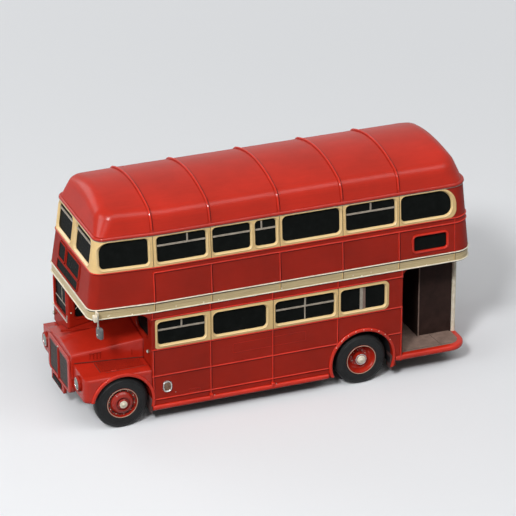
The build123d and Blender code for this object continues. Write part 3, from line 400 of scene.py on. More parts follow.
def turned(centre, axis, profile, steps=32):
    """A profile of (radius, distance along the axis) turned about a level axis of length 1: centre plus
    radius times (cos, sin) across the axis plus the distance along it."""
    axis = np.array(axis, float)
    across = np.cross(axis, (0, 0, 1))
    other = np.cross(axis, across)
    angles = np.linspace(0, 2 * np.pi, steps, endpoint=False)
    radius, along = np.array(profile, float).T
    circle = np.cos(angles)[:, None] * across + np.sin(angles)[:, None] * other
    rings = np.array(centre, float) + (radius[:, None, None] * circle + along[:, None, None] * axis) * MM
    return grid(rings, closed_columns=True)


def ring_bead(centre, axis, radius, thickness, height, steps):
    """Round bead: a circle of half the thickness, its height stretched, carried round a larger circle."""
    turn = np.linspace(0, 2 * np.pi, 10, endpoint=False)
    profile = np.stack([radius + thickness / 2 * np.cos(turn), thickness / 2 * height * np.sin(turn)], axis=1)
    return turned(centre, axis, np.vstack([profile, profile[:1]]), steps)


def tube(path, radius, steps=10):
    """Round tube along a path in metres: at each point a circle across the path's direction."""
    ahead = np.gradient(path, axis=0)
    ahead /= np.linalg.norm(ahead, axis=1, keepdims=True)
    guide = np.array((0, 0, 1.0)) if abs(ahead[:, 2]).max() < 0.9 else np.array((1.0, 0, 0))
    side = np.cross(ahead, guide)
    side /= np.linalg.norm(side, axis=1, keepdims=True)
    up = np.cross(side, ahead)
    angles = np.linspace(0, 2 * np.pi, steps, endpoint=False)
    circle = np.cos(angles)[:, None] * side[:, None] + np.sin(angles)[:, None] * up[:, None]
    return capped(path[:, None] + circle * radius * MM)


def filleted(corners, radii, steps=10):
    """Points of a closed polygon with arcs at its corners: each centre lies on the corner's bisector, at
    the radius over the sine of half the corner's angle."""
    corners = np.array(corners, float)
    rows = []
    for corner, before, after, radius in zip(corners, np.roll(corners, 1, 0), np.roll(corners, -1, 0), radii):
        u = (before - corner) / np.linalg.norm(before - corner)
        v = (after - corner) / np.linalg.norm(after - corner)
        half = math.acos(float(np.clip(u @ v, -1, 1))) / 2
        middle = (u + v) / np.linalg.norm(u + v)
        centre = corner + middle * radius / math.sin(half)
        start = corner + u * radius / math.tan(half) - centre
        end = corner + v * radius / math.tan(half) - centre
        share = np.linspace(0, 1, steps + 1)[:, None]
        turn = math.pi - 2 * half
        arc = np.sin((1 - share) * turn) * start + np.sin(share * turn) * end
        rows.append(centre + arc / math.sin(turn))
    return np.concatenate(rows)


def body_loop(z, out):
    """Outline of the upper deck at a height, grown outwards, from the near side's front round the rear."""
    share = float(skin_share(z))
    front = between(FRONT_AFT, share) - out
    rear = between(REAR_AFT, share) + out
    half = between((HALF_WIDTH, GUTTER_HALF_WIDTH), share) + out
    narrow, bend = half - TAPER, front + TAPER_LENGTH
    corners = [(front, narrow), (bend, half), (rear, half), (rear, -half), (bend, -half), (front, -narrow)]
    near_radii = [CORNER_RADIUS + out, TAPER_BEND, REAR_CORNER + out]
    return filleted(corners, near_radii + near_radii[::-1])


def round_body(profile, start=None):
    """A closed profile of (distance outwards, height) carried round the upper deck, or from a distance aft
    on the near side round the rear to the same on the off side."""
    rings = []
    behind = None if start is None else body_loop(profile[0][1], 0)[:, 0] > start + 0.6
    for out, z in profile:
        loop = body_loop(z, out)
        if start is not None:
            half = float(skin_y(start, z)) + out
            loop = np.vstack([[(start, half)], loop[behind], [(start, -half)]])
        rings.append(points_of(loop[:, 0], loop[:, 1], z))
    rings = np.array(rings)
    if start is None:
        return grid(rings, closed_rows=True, closed_columns=True)
    return capped(rings.transpose(1, 0, 2))


def half_round(z, height, proud):
    """Profile of a half-round bead: half an ellipse standing proud, and a flat foot sunk in the skin."""
    sink = 0.1
    turn = np.linspace(-np.pi / 2, np.pi / 2, 9)
    arc = np.stack([proud * np.cos(turn), z + height / 2 * np.sin(turn)], axis=1)
    return np.vstack([[(-sink, z - height / 2)], arc, [(-sink, z + height / 2)]])


def bead_run(surface, start, end, width, proud):
    """Half-round bead on a surface from one pair of its coordinates to another, in steps of about 4 mm."""
    sink = 0.08
    start, end = np.array(start, float), np.array(end, float)
    length = np.linalg.norm(end - start)
    share = np.linspace(0, 1, max(2, int(length / 4) + 1))[:, None]
    path = start + share * (end - start)
    across = np.array([-(end - start)[1], (end - start)[0]]) / length
    turn = np.linspace(0, np.pi, 7)
    offset = np.concatenate([[width / 2], width / 2 * np.cos(turn), [-width / 2]])
    height = np.concatenate([[-sink], proud * np.sin(turn), [-sink]])
    a = path[:, :1] + offset * across[0]
    b = path[:, 1:] + offset * across[1]
    return capped(surface(a, b, np.broadcast_to(height, a.shape)))


def upright(surface, aft, heights, width, proud):
    """Half-round bead on a side at a distance aft, from one height to another."""
    return bead_run(surface, (aft, heights[0]), (aft, heights[1]), width, proud)


def clear_of_arches(z, low, high):
    """Stretches of a level line between two distances aft that the wheel arches leave."""
    cuts = [low]
    for aft, radius in ARCHES:
        reach = math.sqrt(max(radius ** 2 - (z - AXLE_Z) ** 2, 0))
        if reach and aft + reach > low:
            cuts += [max(aft - reach, low), aft + reach]
    cuts.append(high)
    return [(a, b) for a, b in zip(cuts[::2], cuts[1::2]) if b - a > 0.3]


def foot_at(aft):
    """Height where an upright on the lower side ends: on the skirt rail, or on an arch above it."""
    arcs = [AXLE_Z + math.sqrt(radius ** 2 - (aft - centre) ** 2) - 0.01
            for centre, radius in ARCHES if abs(aft - centre) < radius]
    return max([RAIL_TOP_Z, *arcs])


def stud(surface, a, b, radius, height, steps=10):
    """Small domed stud on a surface."""
    turn = np.linspace(0, 2 * np.pi, steps, endpoint=False)
    rings = []
    for share, lift in ((1.0, -0.05), (1.0, 0.35 * height), (0.75, 0.8 * height), (0.35, height)):
        circle = radius * share * np.array((np.cos(turn), np.sin(turn)))
        rings.append(surface(a + circle[0], b + circle[1], np.full(steps, lift)))
    return capped(np.array(rings))


def roof_arc(aft, radius, lift):
    """Tube over the roof at a distance aft, from the gutter on one side to the other. Each of its points
    is where a ray towards the middle of the body, below the gutter, first meets the roof."""
    roof = NODES["roof"]
    inverse = roof.matrix_world.inverted()
    start, foot_z = 60.0 * MM, (GUTTER_Z + 0.95) * MM
    middle = Vector(points_of(aft, 0.0, GUTTER_Z - 8.5))
    path = []
    for angle in np.radians(np.linspace(27.0, 153.0, 64)):
        outward = Vector((0.0, math.cos(angle), math.sin(angle)))
        met, place, _, _ = roof.ray_cast(inverse @ (middle + outward * start), inverse.to_3x3() @ -outward)
        place = roof.matrix_world @ place
        if met and place.z > foot_z:
            path.append(place + outward * (lift - 0.5 * radius) * MM)
    return tube(np.array(path), radius, 8)


def both(parts):
    """Parts on the near side and the same on the off side."""
    flip = np.array([1, -1, 1])
    return parts + [(points * flip, faces) for points, faces in parts]


def piece(name, parts, finish, body="body", sharp=35.0):
    """One object from a list of parts: joined, closed at its poles, faces turned outwards, shaded smooth
    but for edges over the given angle; it rides on a body and has a finish of one of the record's slots."""
    offsets = np.cumsum([0] + [len(points) for points, _ in parts[:-1]])
    vertices = np.concatenate([points for points, _ in parts])
    faces = np.concatenate([quads + offset for (_, quads), offset in zip(parts, offsets)])
    mesh = bpy.data.meshes.new(name)
    mesh.from_pydata(vertices.tolist(), [], faces.tolist())
    shape = bmesh.new()
    shape.from_mesh(mesh)
    bmesh.ops.remove_doubles(shape, verts=shape.verts, dist=2e-7)
    bmesh.ops.dissolve_degenerate(shape, edges=shape.edges, dist=1e-7)
    bmesh.ops.recalc_face_normals(shape, faces=shape.faces)
    shape.to_mesh(mesh)
    shape.free()
    mesh.shade_smooth()
    mesh.set_sharp_from_angle(angle=math.radians(sharp))
    obj = bpy.data.objects.new(name, mesh)
    bpy.context.scene.collection.objects.link(obj)
    mesh.materials.append(FINISHES[finish])
    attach(obj, body)
    return obj


# Finishes

def hex_of(colour):
    """Six hex digits of an sRGB colour given as three shares."""
    return "".join("{:02X}".format(round(share * 255)) for share in colour)


def shaded(text, factor):
    """Six hex digits of an sRGB colour made lighter or darker by a factor."""
    return "".join("{:02X}".format(min(round(int(text[i:i + 2], 16) * factor), 255)) for i in (0, 2, 4))


def linear(text):
    """Linear RGBA of an sRGB colour written as six hex digits."""
    shares = [int(text[i:i + 2], 16) / 255 for i in (0, 2, 4)]
    turned_shares = [s / 12.92 if s <= 0.04045 else ((s + 0.055) / 1.055) ** 2.4 for s in shares]
    return (*turned_shares, 1.0)


def cells(grain_mm):
    """Cells per metre of a pattern whose grains have this size."""
    return 1000 / grain_mm


def add(owner, kind, settings=None, links=None):
    """Add one shader node to a material or world: give its properties and inputs their values, and link
    its inputs. A node given as a link stands for its first output."""
    tree = owner.node_tree
    node = tree.nodes.new("ShaderNode" + kind)
    for name, value in (settings or {}).items():
        if isinstance(name, str) and hasattr(node, name):
            setattr(node, name, value)
        else:
            node.inputs[name].default_value = value
    for name, source in (links or {}).items():
        tree.links.new(getattr(source, "outputs", [source])[0], node.inputs[name])
    return node


def new_material(name):
    """Empty node material."""
    material = bpy.data.materials.new(name)
    material.use_nodes = True
    material.node_tree.nodes.clear()
    return material


def enamel(name, colour, deep, roughness, corner_shade, rounding_mm=0.4, coat=0.3, coat_roughness=0.22):
    """Sprayed enamel over moulded plastic.

    To the eye: an even gloss with soft cloudy changes of tone, faint fine streaks along the body, and
    painted shade: ambient occlusion darkens the colour in corners and against every raised moulding.
    """
    m = new_material(name)
    place = add(m, "TexCoord").outputs["Object"]
    clouds = add(m, "TexNoise", {"Scale": cells(16.67), "Detail": 4.0, "Roughness": 0.6}, {"Vector": place})
    along = add(m, "Mapping", {"Scale": (cells(6.667), cells(6.667), cells(0.25))}, {"Vector": place})
    streaks = add(m, "TexNoise", {"Scale": 1.0, "Detail": 3.0}, {"Vector": along})
    tone = add(m, "MapRange", {"From Min": 0.32, "From Max": 0.68}, {"Value": clouds})
    body = add(m, "Mix", {"data_type": "RGBA", 6: linear(deep), 7: linear(colour)}, {0: tone})
    fine = add(m, "MapRange", {"From Min": 0.35, "From Max": 0.65, "To Min": 0.97, "To Max": 1.02},
               {"Value": streaks})
    streaked = add(m, "Mix", {"data_type": "RGBA", "blend_type": "MULTIPLY", 0: 1.0},
                   {6: body.outputs[2], 7: fine})
    # Painted shade: ambient occlusion darkens the colour in corners and against raised mouldings
    corners = add(m, "AmbientOcclusion", {"Distance": 0.6 * MM, "samples": 8})
    painted_shade = add(m, "MapRange", {"From Min": 0.3, "From Max": 0.85, "To Min": corner_shade},
                {"Value": corners.outputs["AO"]})
    with_painted_shade = add(m, "Mix", {"data_type": "RGBA", "blend_type": "MULTIPLY", 0: 1.0},
               {6: streaked.outputs[2], 7: painted_shade})
    gloss = add(m, "MapRange", {"From Min": 0.3, "From Max": 0.7, "To Min": roughness - 0.03,
                                "To Max": roughness + 0.05}, {"Value": clouds})
    grain = add(m, "TexNoise", {"Scale": cells(0.4545), "Detail": 2.0}, {"Vector": place})
    edge = add(m, "Bevel", {"samples": 6, "Radius": rounding_mm * MM})
    bump = add(m, "Bump", {"Strength": 0.05, "Distance": 0.06 * MM}, {"Height": grain, "Normal": edge})
    shader = add(m, "BsdfPrincipled", {"IOR": 1.5, "Specular IOR Level": 0.0, "Coat Weight": coat,
                                       "Coat Roughness": coat_roughness},
                 {"Base Color": with_painted_shade.outputs[2], "Roughness": gloss, "Normal": bump})
    add(m, "OutputMaterial", {}, {"Surface": shader})
    return m


def band_enamel():
    """Cream band between the decks: fine level grooves like planking, and chipped specks along its foot.

    To the eye: duller and greyer than the window bands, with a faint grain along the body.
    """
    m = new_material("cream_enamel_grained_band")
    place = add(m, "TexCoord").outputs["Object"]
    along = add(m, "Mapping", {"Scale": (cells(11.11), cells(11.11), cells(0.2381))}, {"Vector": place})
    grain = add(m, "TexNoise", {"Scale": 1.0, "Detail": 4.0, "Roughness": 0.65}, {"Vector": along})
    tone = add(m, "MapRange", {"From Min": 0.32, "From Max": 0.68}, {"Value": grain})
    body = add(m, "Mix", {"data_type": "RGBA", 6: linear("B09A70"), 7: linear("D2BE92")}, {0: tone})
    chips = add(m, "TexVoronoi", {"Scale": cells(1.6129), "Randomness": 1.0}, {"Vector": place})
    height = add(m, "SeparateXYZ", {}, {"Vector": place}).outputs["Z"]
    low = add(m, "MapRange", {"From Min": (BAND_FOOT_Z + 0.7) * MM, "From Max": (BAND_FOOT_Z + 1.4) * MM,
                              "To Min": 1.0, "To Max": 0.0}, {"Value": height})
    speck = add(m, "Math", {"operation": "LESS_THAN", 1: 0.14}, {0: chips})
    where = add(m, "Math", {"operation": "MULTIPLY"}, {0: speck, 1: low})
    chipped = add(m, "Mix", {"data_type": "RGBA", 7: linear("EFE7D2")}, {0: where, 6: body.outputs[2]})
    bump = add(m, "Bump", {"Strength": 0.35, "Distance": 0.06 * MM}, {"Height": grain})
    shader = add(m, "BsdfPrincipled", {"IOR": 1.5, "Roughness": 0.42, "Coat Weight": 0.1},
                 {"Base Color": chipped.outputs[2], "Normal": bump})
    add(m, "OutputMaterial", {}, {"Surface": shader})
    return m


def gloss_black():
    """Opaque dark pane, moulded and polished.

    To the eye: nearly black, with a soft sheen and faint dust.
    """
    m = new_material("polished_black_plastic_pane")
    place = add(m, "TexCoord").outputs["Object"]
    dust = add(m, "TexNoise", {"Scale": cells(2.222), "Detail": 5.0, "Roughness": 0.7}, {"Vector": place})
    tone = add(m, "MapRange", {"From Min": 0.4, "From Max": 0.8}, {"Value": dust})
    body = add(m, "Mix", {"data_type": "RGBA", 6: linear("141615"), 7: linear("1B1D1C")}, {0: tone})
    gloss = add(m, "MapRange", {"From Min": 0.3, "From Max": 0.8, "To Min": 0.16, "To Max": 0.34},
                {"Value": dust})
    shader = add(m, "BsdfPrincipled", {"IOR": 1.45, "Specular IOR Level": 0.01},
                 {"Base Color": body.outputs[2], "Roughness": gloss})
    add(m, "OutputMaterial", {}, {"Surface": shader})
    return m


def speckled(name, dark, light, grain_mm, roughness, bump_mm, metallic=0.0, specular=0.5):
    """Moulded, painted or drawn surface with an even fine grain.

    To the eye: one tone, slightly mottled, with gloss that breaks up at its grain.
    """
    m = new_material(name)
    place = add(m, "TexCoord").outputs["Object"]
    grain = add(m, "TexNoise", {"Scale": cells(grain_mm), "Detail": 4.0, "Roughness": 0.6}, {"Vector": place})
    tone = add(m, "MapRange", {"From Min": 0.3, "From Max": 0.7}, {"Value": grain})
    body = add(m, "Mix", {"data_type": "RGBA", 6: linear(dark), 7: linear(light)}, {0: tone})
    gloss = add(m, "MapRange", {"From Min": 0.3, "From Max": 0.7, "To Min": roughness,
                                "To Max": min(roughness + 0.12, 1.0)}, {"Value": grain})
    bump = add(m, "Bump", {"Strength": 0.4, "Distance": bump_mm * MM}, {"Height": grain})
    shader = add(m, "BsdfPrincipled", {"Metallic": metallic, "Specular IOR Level": specular},
                 {"Base Color": body.outputs[2], "Roughness": gloss, "Normal": bump})
    add(m, "OutputMaterial", {}, {"Surface": shader})
    return m


def tyre_rubber(name, aft):
    """Moulded tyre rubber: the rings follow the distance from the axle, the grooves the distance across
    the tyre.

    To the eye: dark and dull, with fine rings round the side wall and grooves on the tread.
    """
    m = new_material(name)
    place = add(m, "TexCoord").outputs["Object"]
    to_axle = ((aft - FRONT_X) * MM, 0.0, -AXLE_Z * MM)
    local = add(m, "VectorMath", {"operation": "ADD", 1: to_axle}, {0: place})
    flat = add(m, "VectorMath", {"operation": "MULTIPLY", 1: (1.0, 0.0, 1.0)}, {0: local})
    radius = add(m, "VectorMath", {"operation": "LENGTH"}, {0: flat}).outputs["Value"]
    across = add(m, "SeparateXYZ", {}, {"Vector": place}).outputs["Y"]
    waves = []
    for distance, pitch in ((radius, 0.5 * MM), (across, 0.6 * MM)):
        turns = add(m, "Math", {"operation": "MULTIPLY", 1: 2 * math.pi / pitch}, {0: distance})
        waves.append(add(m, "Math", {"operation": "SINE"}, {0: turns}))
    on_tread = add(m, "Math", {"operation": "GREATER_THAN", 1: 7.5 * MM}, {0: radius})
    height = add(m, "Mix", {"data_type": "FLOAT"}, {0: on_tread, 2: waves[0], 3: waves[1]})
    dust = add(m, "TexNoise", {"Scale": cells(2.0), "Detail": 4.0}, {"Vector": place})
    tone = add(m, "MapRange", {"From Min": 0.3, "From Max": 0.75}, {"Value": dust})
    body = add(m, "Mix", {"data_type": "RGBA", 6: linear("131415"), 7: linear("212223")}, {0: tone})
    bump = add(m, "Bump", {"Strength": 0.35, "Distance": 0.08 * MM}, {"Height": height})
    shader = add(m, "BsdfPrincipled", {"IOR": 1.52, "Roughness": 0.45, "Specular IOR Level": 0.22},
                 {"Base Color": body.outputs[2], "Normal": bump})
    add(m, "OutputMaterial", {}, {"Surface": shader})
    return m


def enamels(red, cream):
    """Rows of the enamels: name, colour, deeper colour, roughness, colour kept in the corners' painted shade,
    and where they differ rounding in mm, coat and its roughness. Each comment says what the eye sees."""
    return {
        # Flat panels: an even red gloss
        "red": ("red_enamel_on_moulded_plastic", red, shaded(red, 0.88), 0.3, 0.5),
        # Roof: painted lighter, to stand in for the light falling on its top, with a broad soft shine
        "red_roof": ("red_enamel_painted_lighter_on_roof", shaded(red, 1.17), shaded(red, 1.05), 0.3, 0.5,
                     0.4, 0.5, 0.25),
        # Bonnet and wings: painted lighter for the light on top; round edges catch a wide highlight
        "red_soft": ("red_enamel_painted_lighter_on_rounded_moulding", shaded(red, 1.12), red, 0.3, 0.5, 1.0, 0.7, 0.22),
        # Wheels: the glossiest red, with painted shade round the nuts
        "red_wheel": ("red_enamel_on_wheel", shaded(red, 1.1), shaded(red, 0.9), 0.25, 0.4, 0.3, 0.8, 0.13),
        # Raised beads: painted lighter as a painted highlight along them, with little painted shade
        "red_bead": ("red_enamel_with_painted_highlight_on_beads", shaded(red, 1.3), shaded(red, 1.12), 0.3, 0.9,
                     0.4, 0.6, 0.16),
        # Window bands: warm cream, with painted shade in the corners
        "cream": ("cream_enamel_on_moulded_plastic", cream, "E0BE84", 0.36, 0.6),
        # Window rims: the same cream with a thin bright edge
        "cream_rim": ("cream_enamel_on_window_rim", cream, "E6C78F", 0.3, 0.7, 0.2, 1.0, 0.15),
    }


# Rows of the speckled finishes: name, darker and lighter tone, grain in mm, roughness, depth of the grain
# in mm, and where they differ metallic and specular; each comment says what the eye sees
SPECKLED = {
    # A dull dark red line: painted shadow beside a bead, and painted shade in the tread's grooves
    "red_shade_line": ("dark_red_painted_shade_line", "3A0B08", "521510", 1.111, 0.7, 0.01, 0.0, 0.1),
    # Nearly white, with a soft shine
    "bead": ("aluminium_paint_bead", "CFC8B4", "E8E2D0", 1.429, 0.3, 0.03),
    # A warm grey line before the dark pane
    "bar": ("pale_grey_painted_bar", "8F867A", "B5AA9B", 1.111, 0.4, 0.02),
    # A slightly clouded mirror
    "chrome": ("chromed_plastic", "A9ABAA", "CFCFCB", 1.667, 0.22, 0.01, 1.0),
    # Bright grey metal with a fine grain
    "steel": ("drawn_steel", "8E8F92", "B5B6B8", 0.6667, 0.25, 0.02, 1.0),
    # Dark grey ribs with a faint sheen
    "grille": ("grey_painted_grille", "363333", "57514F", 0.7692, 0.35, 0.04, 0.0, 0.25),
    # A grey-green glass, clear at its top
    "lens": ("clear_ribbed_lens", "56625F", "97A39E", 1.111, 0.12, 0.03),
    # A small pale glass
    "marker": ("clear_marker_lens", "9AA5A2", "CDD5D1", 1.111, 0.15, 0.02),
    # A brownish glass
    "amber": ("smoked_amber_lens", "5B4233", "8A6A52", 1.111, 0.15, 0.03),
    # A deep red glass
    "rear_lens": ("red_clear_lens", "5E0F0C", "8A1A14", 1.111, 0.12, 0.03),
    # Nearly black brown, without shine
    "brown": ("brown_matt_paint", "2A1E1B", "382925", 3.333, 0.5, 0.04, 0.0, 0.08),
    # A greyed brown floor, mottled by wear
    "floor_brown": ("worn_brown_deck_paint", "786359", "917B70", 2.0, 0.6, 0.06, 0.0, 0.2),
    # Plain black, slightly rough
    "chassis": ("black_moulded_plastic", "18191A", "26272A", 0.7143, 0.55, 0.05, 0.0, 0.2),
    # A mid grey, half dull
    "mirror_grey": ("grey_painted_mirror_back", "4C4F51", "6D7072", 1.111, 0.4, 0.03),
    # A thin tan line on the wheel
    "ring": ("tan_painted_rim_ring", "A8937C", "CDBBA4", 1.111, 0.3, 0.02),
    # A thin grey line under the gutter
    "drip": ("grey_metal_drip_rail", "8D8A82", "B9B6AC", 1.25, 0.3, 0.02),
    # A dull dark gap at joints; also painted shadow under the band's beads and in the hand holes
    "dark_gap_and_shadow": ("dark_gap_and_painted_shadow", "2A2420", "4A4038", 1.111, 0.8, 0.01, 0.0, 0.1),
    # A reddened grey, dull
    "rubber_flap": ("grey_rubber_flap", "4A3432", "6A4A46", 1.667, 0.6, 0.02),
    # Warm white, with a soft gloss
    "pale": ("cream_moulded_plastic", "D9CDB4", "F2EAD8", 1.111, 0.35, 0.02),
}


class BUS_OT_finishes(bpy.types.Operator):
    """Make the finishes and put them on the solids of the frame"""
    bl_idname = "bus.finishes"
    bl_label = "Finishes"

    def execute(self, context):
        colours = context.scene.bus_colours
        rows = enamels(hex_of(colours.red), hex_of(colours.cream))
        FINISHES.update({key: enamel(*row) for key, row in rows.items()})
        FINISHES.update({key: speckled(*row) for key, row in SPECKLED.items()})
        FINISHES["band"] = band_enamel()
        FINISHES["pane"] = gloss_black()
        FINISHES["front_tyre"] = tyre_rubber("moulded_rubber_front", 0.0)
        FINISHES["rear_tyre"] = tyre_rubber("moulded_rubber_rear", WHEELBASE)
        special = {node: finish for finish, nodes in FINISH_NODES.items() for node in nodes}
        for name, obj in NODES.items():
            finish = special.get(name, SLOT_FINISHES[SLOT_OF[name]][0])
            obj.data.materials.clear()
            obj.data.materials.append(FINISHES[finish])
        return {"FINISHED"}


class BUS_OT_window_rims(bpy.types.Operator):
    """Rounded rims round all windows, sloping in from the skin to the panes, and uprights in two of them"""
    bl_idname = "bus.window_rims"
    bl_label = "Window rims"

    def execute(self, context):
        reach = context.scene.bus_sizes.rim_reach
        profile = ((-0.02, -0.44), (0.04, -0.3), (0.16, -0.1), (0.3, 0.08), (reach, 0.17),
                   (reach + 0.12, 0.13), (reach + 0.16, 0.0), (reach, -0.1), (0.1, -0.5))
        cream = [(r, h + CREAM_PROUD if h > -0.05 else h) for r, h in profile]
        upper = [rim(upper_side, (*row[:2], *UPPER_GLASS_Z), row[2:], cream, 8) for row in UPPER_LIGHTS]
        lower = [rim(lower_side, (*row[:2], *LOWER_GLASS_Z), row[2:], cream, 8) for row in LOWER_LIGHTS]
        front = [rim(upper_front, row, 1.0, cream) for row in FRONT_LIGHTS]
        piece("upper_window_rims", both(upper) + front, "cream_rim")
        piece("lower_window_rims", both(lower), "cream_rim")
        pane = plane_near(HALF_WIDTH - PANE_INSET)
        bar = upright(pane, HINGED_BAR_AFT, (LOWER_GLASS_Z[0], 28.0), 0.36, 0.26)
        piece("hinged_light_bars", both([bar]), "bar")
        post = upright(pane, INNER_POST_AFT, LOWER_GLASS_Z, 0.9, 0.12)
        piece("inner_posts", both([post]), "floor_brown")
        thin = ((-0.12, -0.4), (-0.1, -0.1), (-0.03, 0.1), (0.05, 0.16), (0.1, 0.05), (0.0, -0.4))
        piece("rear_bay_bezels", both([rim(upper_side, REAR_BAY_LIGHT, 0.9, thin, 8)]), "red_bead")
        rows = ((upper_rear, UPPER_REAR_LIGHT, 1.6),
                (plane_behind(LOWER_REAR_AFT), LOWER_REAR_LIGHT, 1.4),
                (plane_ahead(BULKHEAD_AFT), BULKHEAD_LIGHT, 1.8),
                (plane_near(CAB_NEAR_Y), CAB_NEAR_LIGHT, 0.9),
                (plane_off(-HALF_WIDTH), CAB_OFF_LIGHT, 0.9))
        piece("red_window_rims", [rim(*row, profile) for row in rows], "red")
        piece("windscreen_rim", [rim(plane_ahead(CAB_FRONT_AFT), WINDSCREEN, 0.9, profile)], "red_bead")
        return {"FINISHED"}


class BUS_OT_mouldings(bpy.types.Operator):
    """Rounded mouldings, beads, the drip line and painted shadow strips beside the beads on the outside of the
    body
    """
    bl_idname = "bus.mouldings"
    bl_label = "Mouldings"

    def execute(self, context):
        # Painted shadow: a dark strip under each level bead and behind each upright bead
        lower, joints = [], []
        for z in LOWER_BEADS_Z:
            last = EDGE_FRONT_AFT if z < PLATFORM_Z else PLATFORM_FRONT_AFT
            for front, rear in clear_of_arches(z, BULKHEAD_AFT, last):
                lower.append(bead_run(lower_side, (front, z), (rear, z), *BEAD))
                joints.append(bead_run(lower_side, (front, z - BEAD_SHADOW_OFFSET), (rear, z - BEAD_SHADOW_OFFSET), *BEAD_SHADOW))
        width = BEAD[0]
        for aft in (BULKHEAD_AFT + width / 2 + 0.2, *LOWER_PILLARS, PLATFORM_FRONT_AFT - width / 2):
            for heights in ((foot_at(aft), LOWER_CREAM_Z[0]), (LOWER_CREAM_Z[1], BAND_FOOT_Z)):
                lower.append(upright(lower_side, aft, heights, *BEAD))
                joints.append(upright(lower_side, aft + BEAD_SHADOW_OFFSET, heights, *BEAD_SHADOW))
        panel_z = (BAND_TOP_Z, UNDER_SILL_Z)
        upper = [upright(upper_side, aft, panel_z, *BEAD) for aft in UPPER_PILLARS]
        joints += [upright(upper_side, aft + BEAD_SHADOW_OFFSET, panel_z, *BEAD_SHADOW) for aft in UPPER_PILLARS]
        upper.append(upright(upper_side, REAR_SEAM_AFT, (BAND_TOP_Z, SILL_Z), 0.25, 0.15))
        bay_frame = ((-0.1, -0.4), (0.0, 0.1), (0.12, 0.27), (0.32, 0.32), (0.52, 0.25), (0.66, 0.0),
                     (0.4, -0.1))
        upper.append(rim(upper_side, REAR_BAY_LIGHT, 0.9, bay_frame, 8))
        run = round_body(half_round(UNDER_SILL_Z, *BEAD), UPPER_PILLARS[0])
        beads = piece("rounded_mouldings", both(lower + upper) + [run], "red_bead")
        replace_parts(beads, "body_mouldings")
        # Painted shadow: dark strips under the under-sill bead and under the sill
        under = [round_body(half_round(UNDER_SILL_Z - BEAD_SHADOW_OFFSET, *BEAD_SHADOW), UPPER_PILLARS[0]),
                 round_body(half_round(SILL_Z - 0.28, 0.22, 0.03))]
        piece("moulding_shadow_strips", both(joints) + under, "red_shade_line")

        piece("sill_bead", [round_body(half_round(SILL_Z, 0.42, 0.3))], "red_bead")
        gutter = ((-0.1, -0.06), (0.3, -0.06), (0.4, 0.1), (0.42, 0.35), (0.34, 0.62), (0.16, 0.8),
                  (-0.4, 0.85))
        piece("rounded_gutter", [round_body([(out, GUTTER_Z + z) for out, z in gutter])], "red_soft")
        # Painted highlight and shadow on the roof ribs: a lighter bead over each rib and a dark strip behind it
        piece("roof_rib_beads", [roof_arc(aft, 0.3, 0.06) for aft in UPPER_PILLARS], "red_bead")
        piece("roof_rib_shadow_strips", [roof_arc(aft + 0.48, 0.14, 0.0) for aft in UPPER_PILLARS], "red_shade_line")
        piece("drip_line", [round_body(half_round(GUTTER_Z - 0.16, 0.26, 0.26))], "drip")

        band = [round_body(half_round(z, 0.3, 0.34)) for z in (BAND_FOOT_Z + 0.17, BAND_TOP_Z - 0.17)]
        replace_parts(piece("rounded_band_beads", band, "bead"), "band_beads")
        lines = [round_body(half_round(BAND_TOP_Z - 0.5, 0.22, 0.12)),
                 round_body(half_round(BAND_FOOT_Z - 0.1, 0.16, 0.1))]
        piece("band_shadow_lines", lines, "dark_gap_and_shadow")
        return {"FINISHED"}


class BUS_OT_seams(bpy.types.Operator):
    """Cover strips and joints at the pillars, rail clips and pins, and outlines of a flap and a handle"""
    bl_idname = "bus.seams"
    bl_label = "Seams"

    def execute(self, context):
        strips, joints = [], []
        cream_z, band_z = (SILL_Z + 0.2, GUTTER_Z - 0.3), (BAND_FOOT_Z + 0.5, BAND_TOP_Z - 0.5)
        rows = [(upper_side, aft, cream_z, CREAM_PROUD) for aft in UPPER_PILLARS]
        rows += [(upper_side, aft, band_z, 0.0) for aft in (*UPPER_PILLARS, REAR_SEAM_AFT)]
        rows += [(lower_side, aft, LOWER_CREAM_Z, CREAM_PROUD) for aft in LOWER_PILLARS]
        for surface, aft, heights, lift in rows:
            strips.append(upright(surface, aft - 0.1, heights, 0.3, 0.12 + lift))
            joints.append(upright(surface, aft + 0.14, heights, 0.16, 0.05 + lift))

        # The third lower pillar ends on the rear arch, so it has no clip
        clipped = LOWER_PILLARS[:2]
        clip_face, pin_face = plane_near(HALF_WIDTH + 0.2), plane_near(HALF_WIDTH + 0.7)
        clips = [plate(clip_face, (aft - 0.55, aft + 0.45, 5.0, 6.1), 0.2, -0.3, 0.55, 0.12)
                 for aft in clipped]
        piece("rail_clips", both(clips), "red_bead")
        pins = [stud(pin_face, aft + 0.8, 5.75, 0.13, 0.1) for aft in clipped]
        pins.append(stud(lower_side, 15.4, 8.5, 0.12, 0.12))
        piece("clip_pins", both(pins), "drip")
        thin = ((-0.08, -0.03), (-0.05, 0.05), (0.05, 0.05), (0.08, -0.03))
        flap = [rim(lower_side, FLAP, 0.3, thin, 3), rim(lower_side, HANDLE, 0.25, thin, 4)]
        piece("flap_outlines", both(flap), "red_bead")
        piece("pillar_cover_strips", both(strips), "cream")
        piece("pillar_joints", both(joints), "dark_gap_and_shadow")
        return {"FINISHED"}


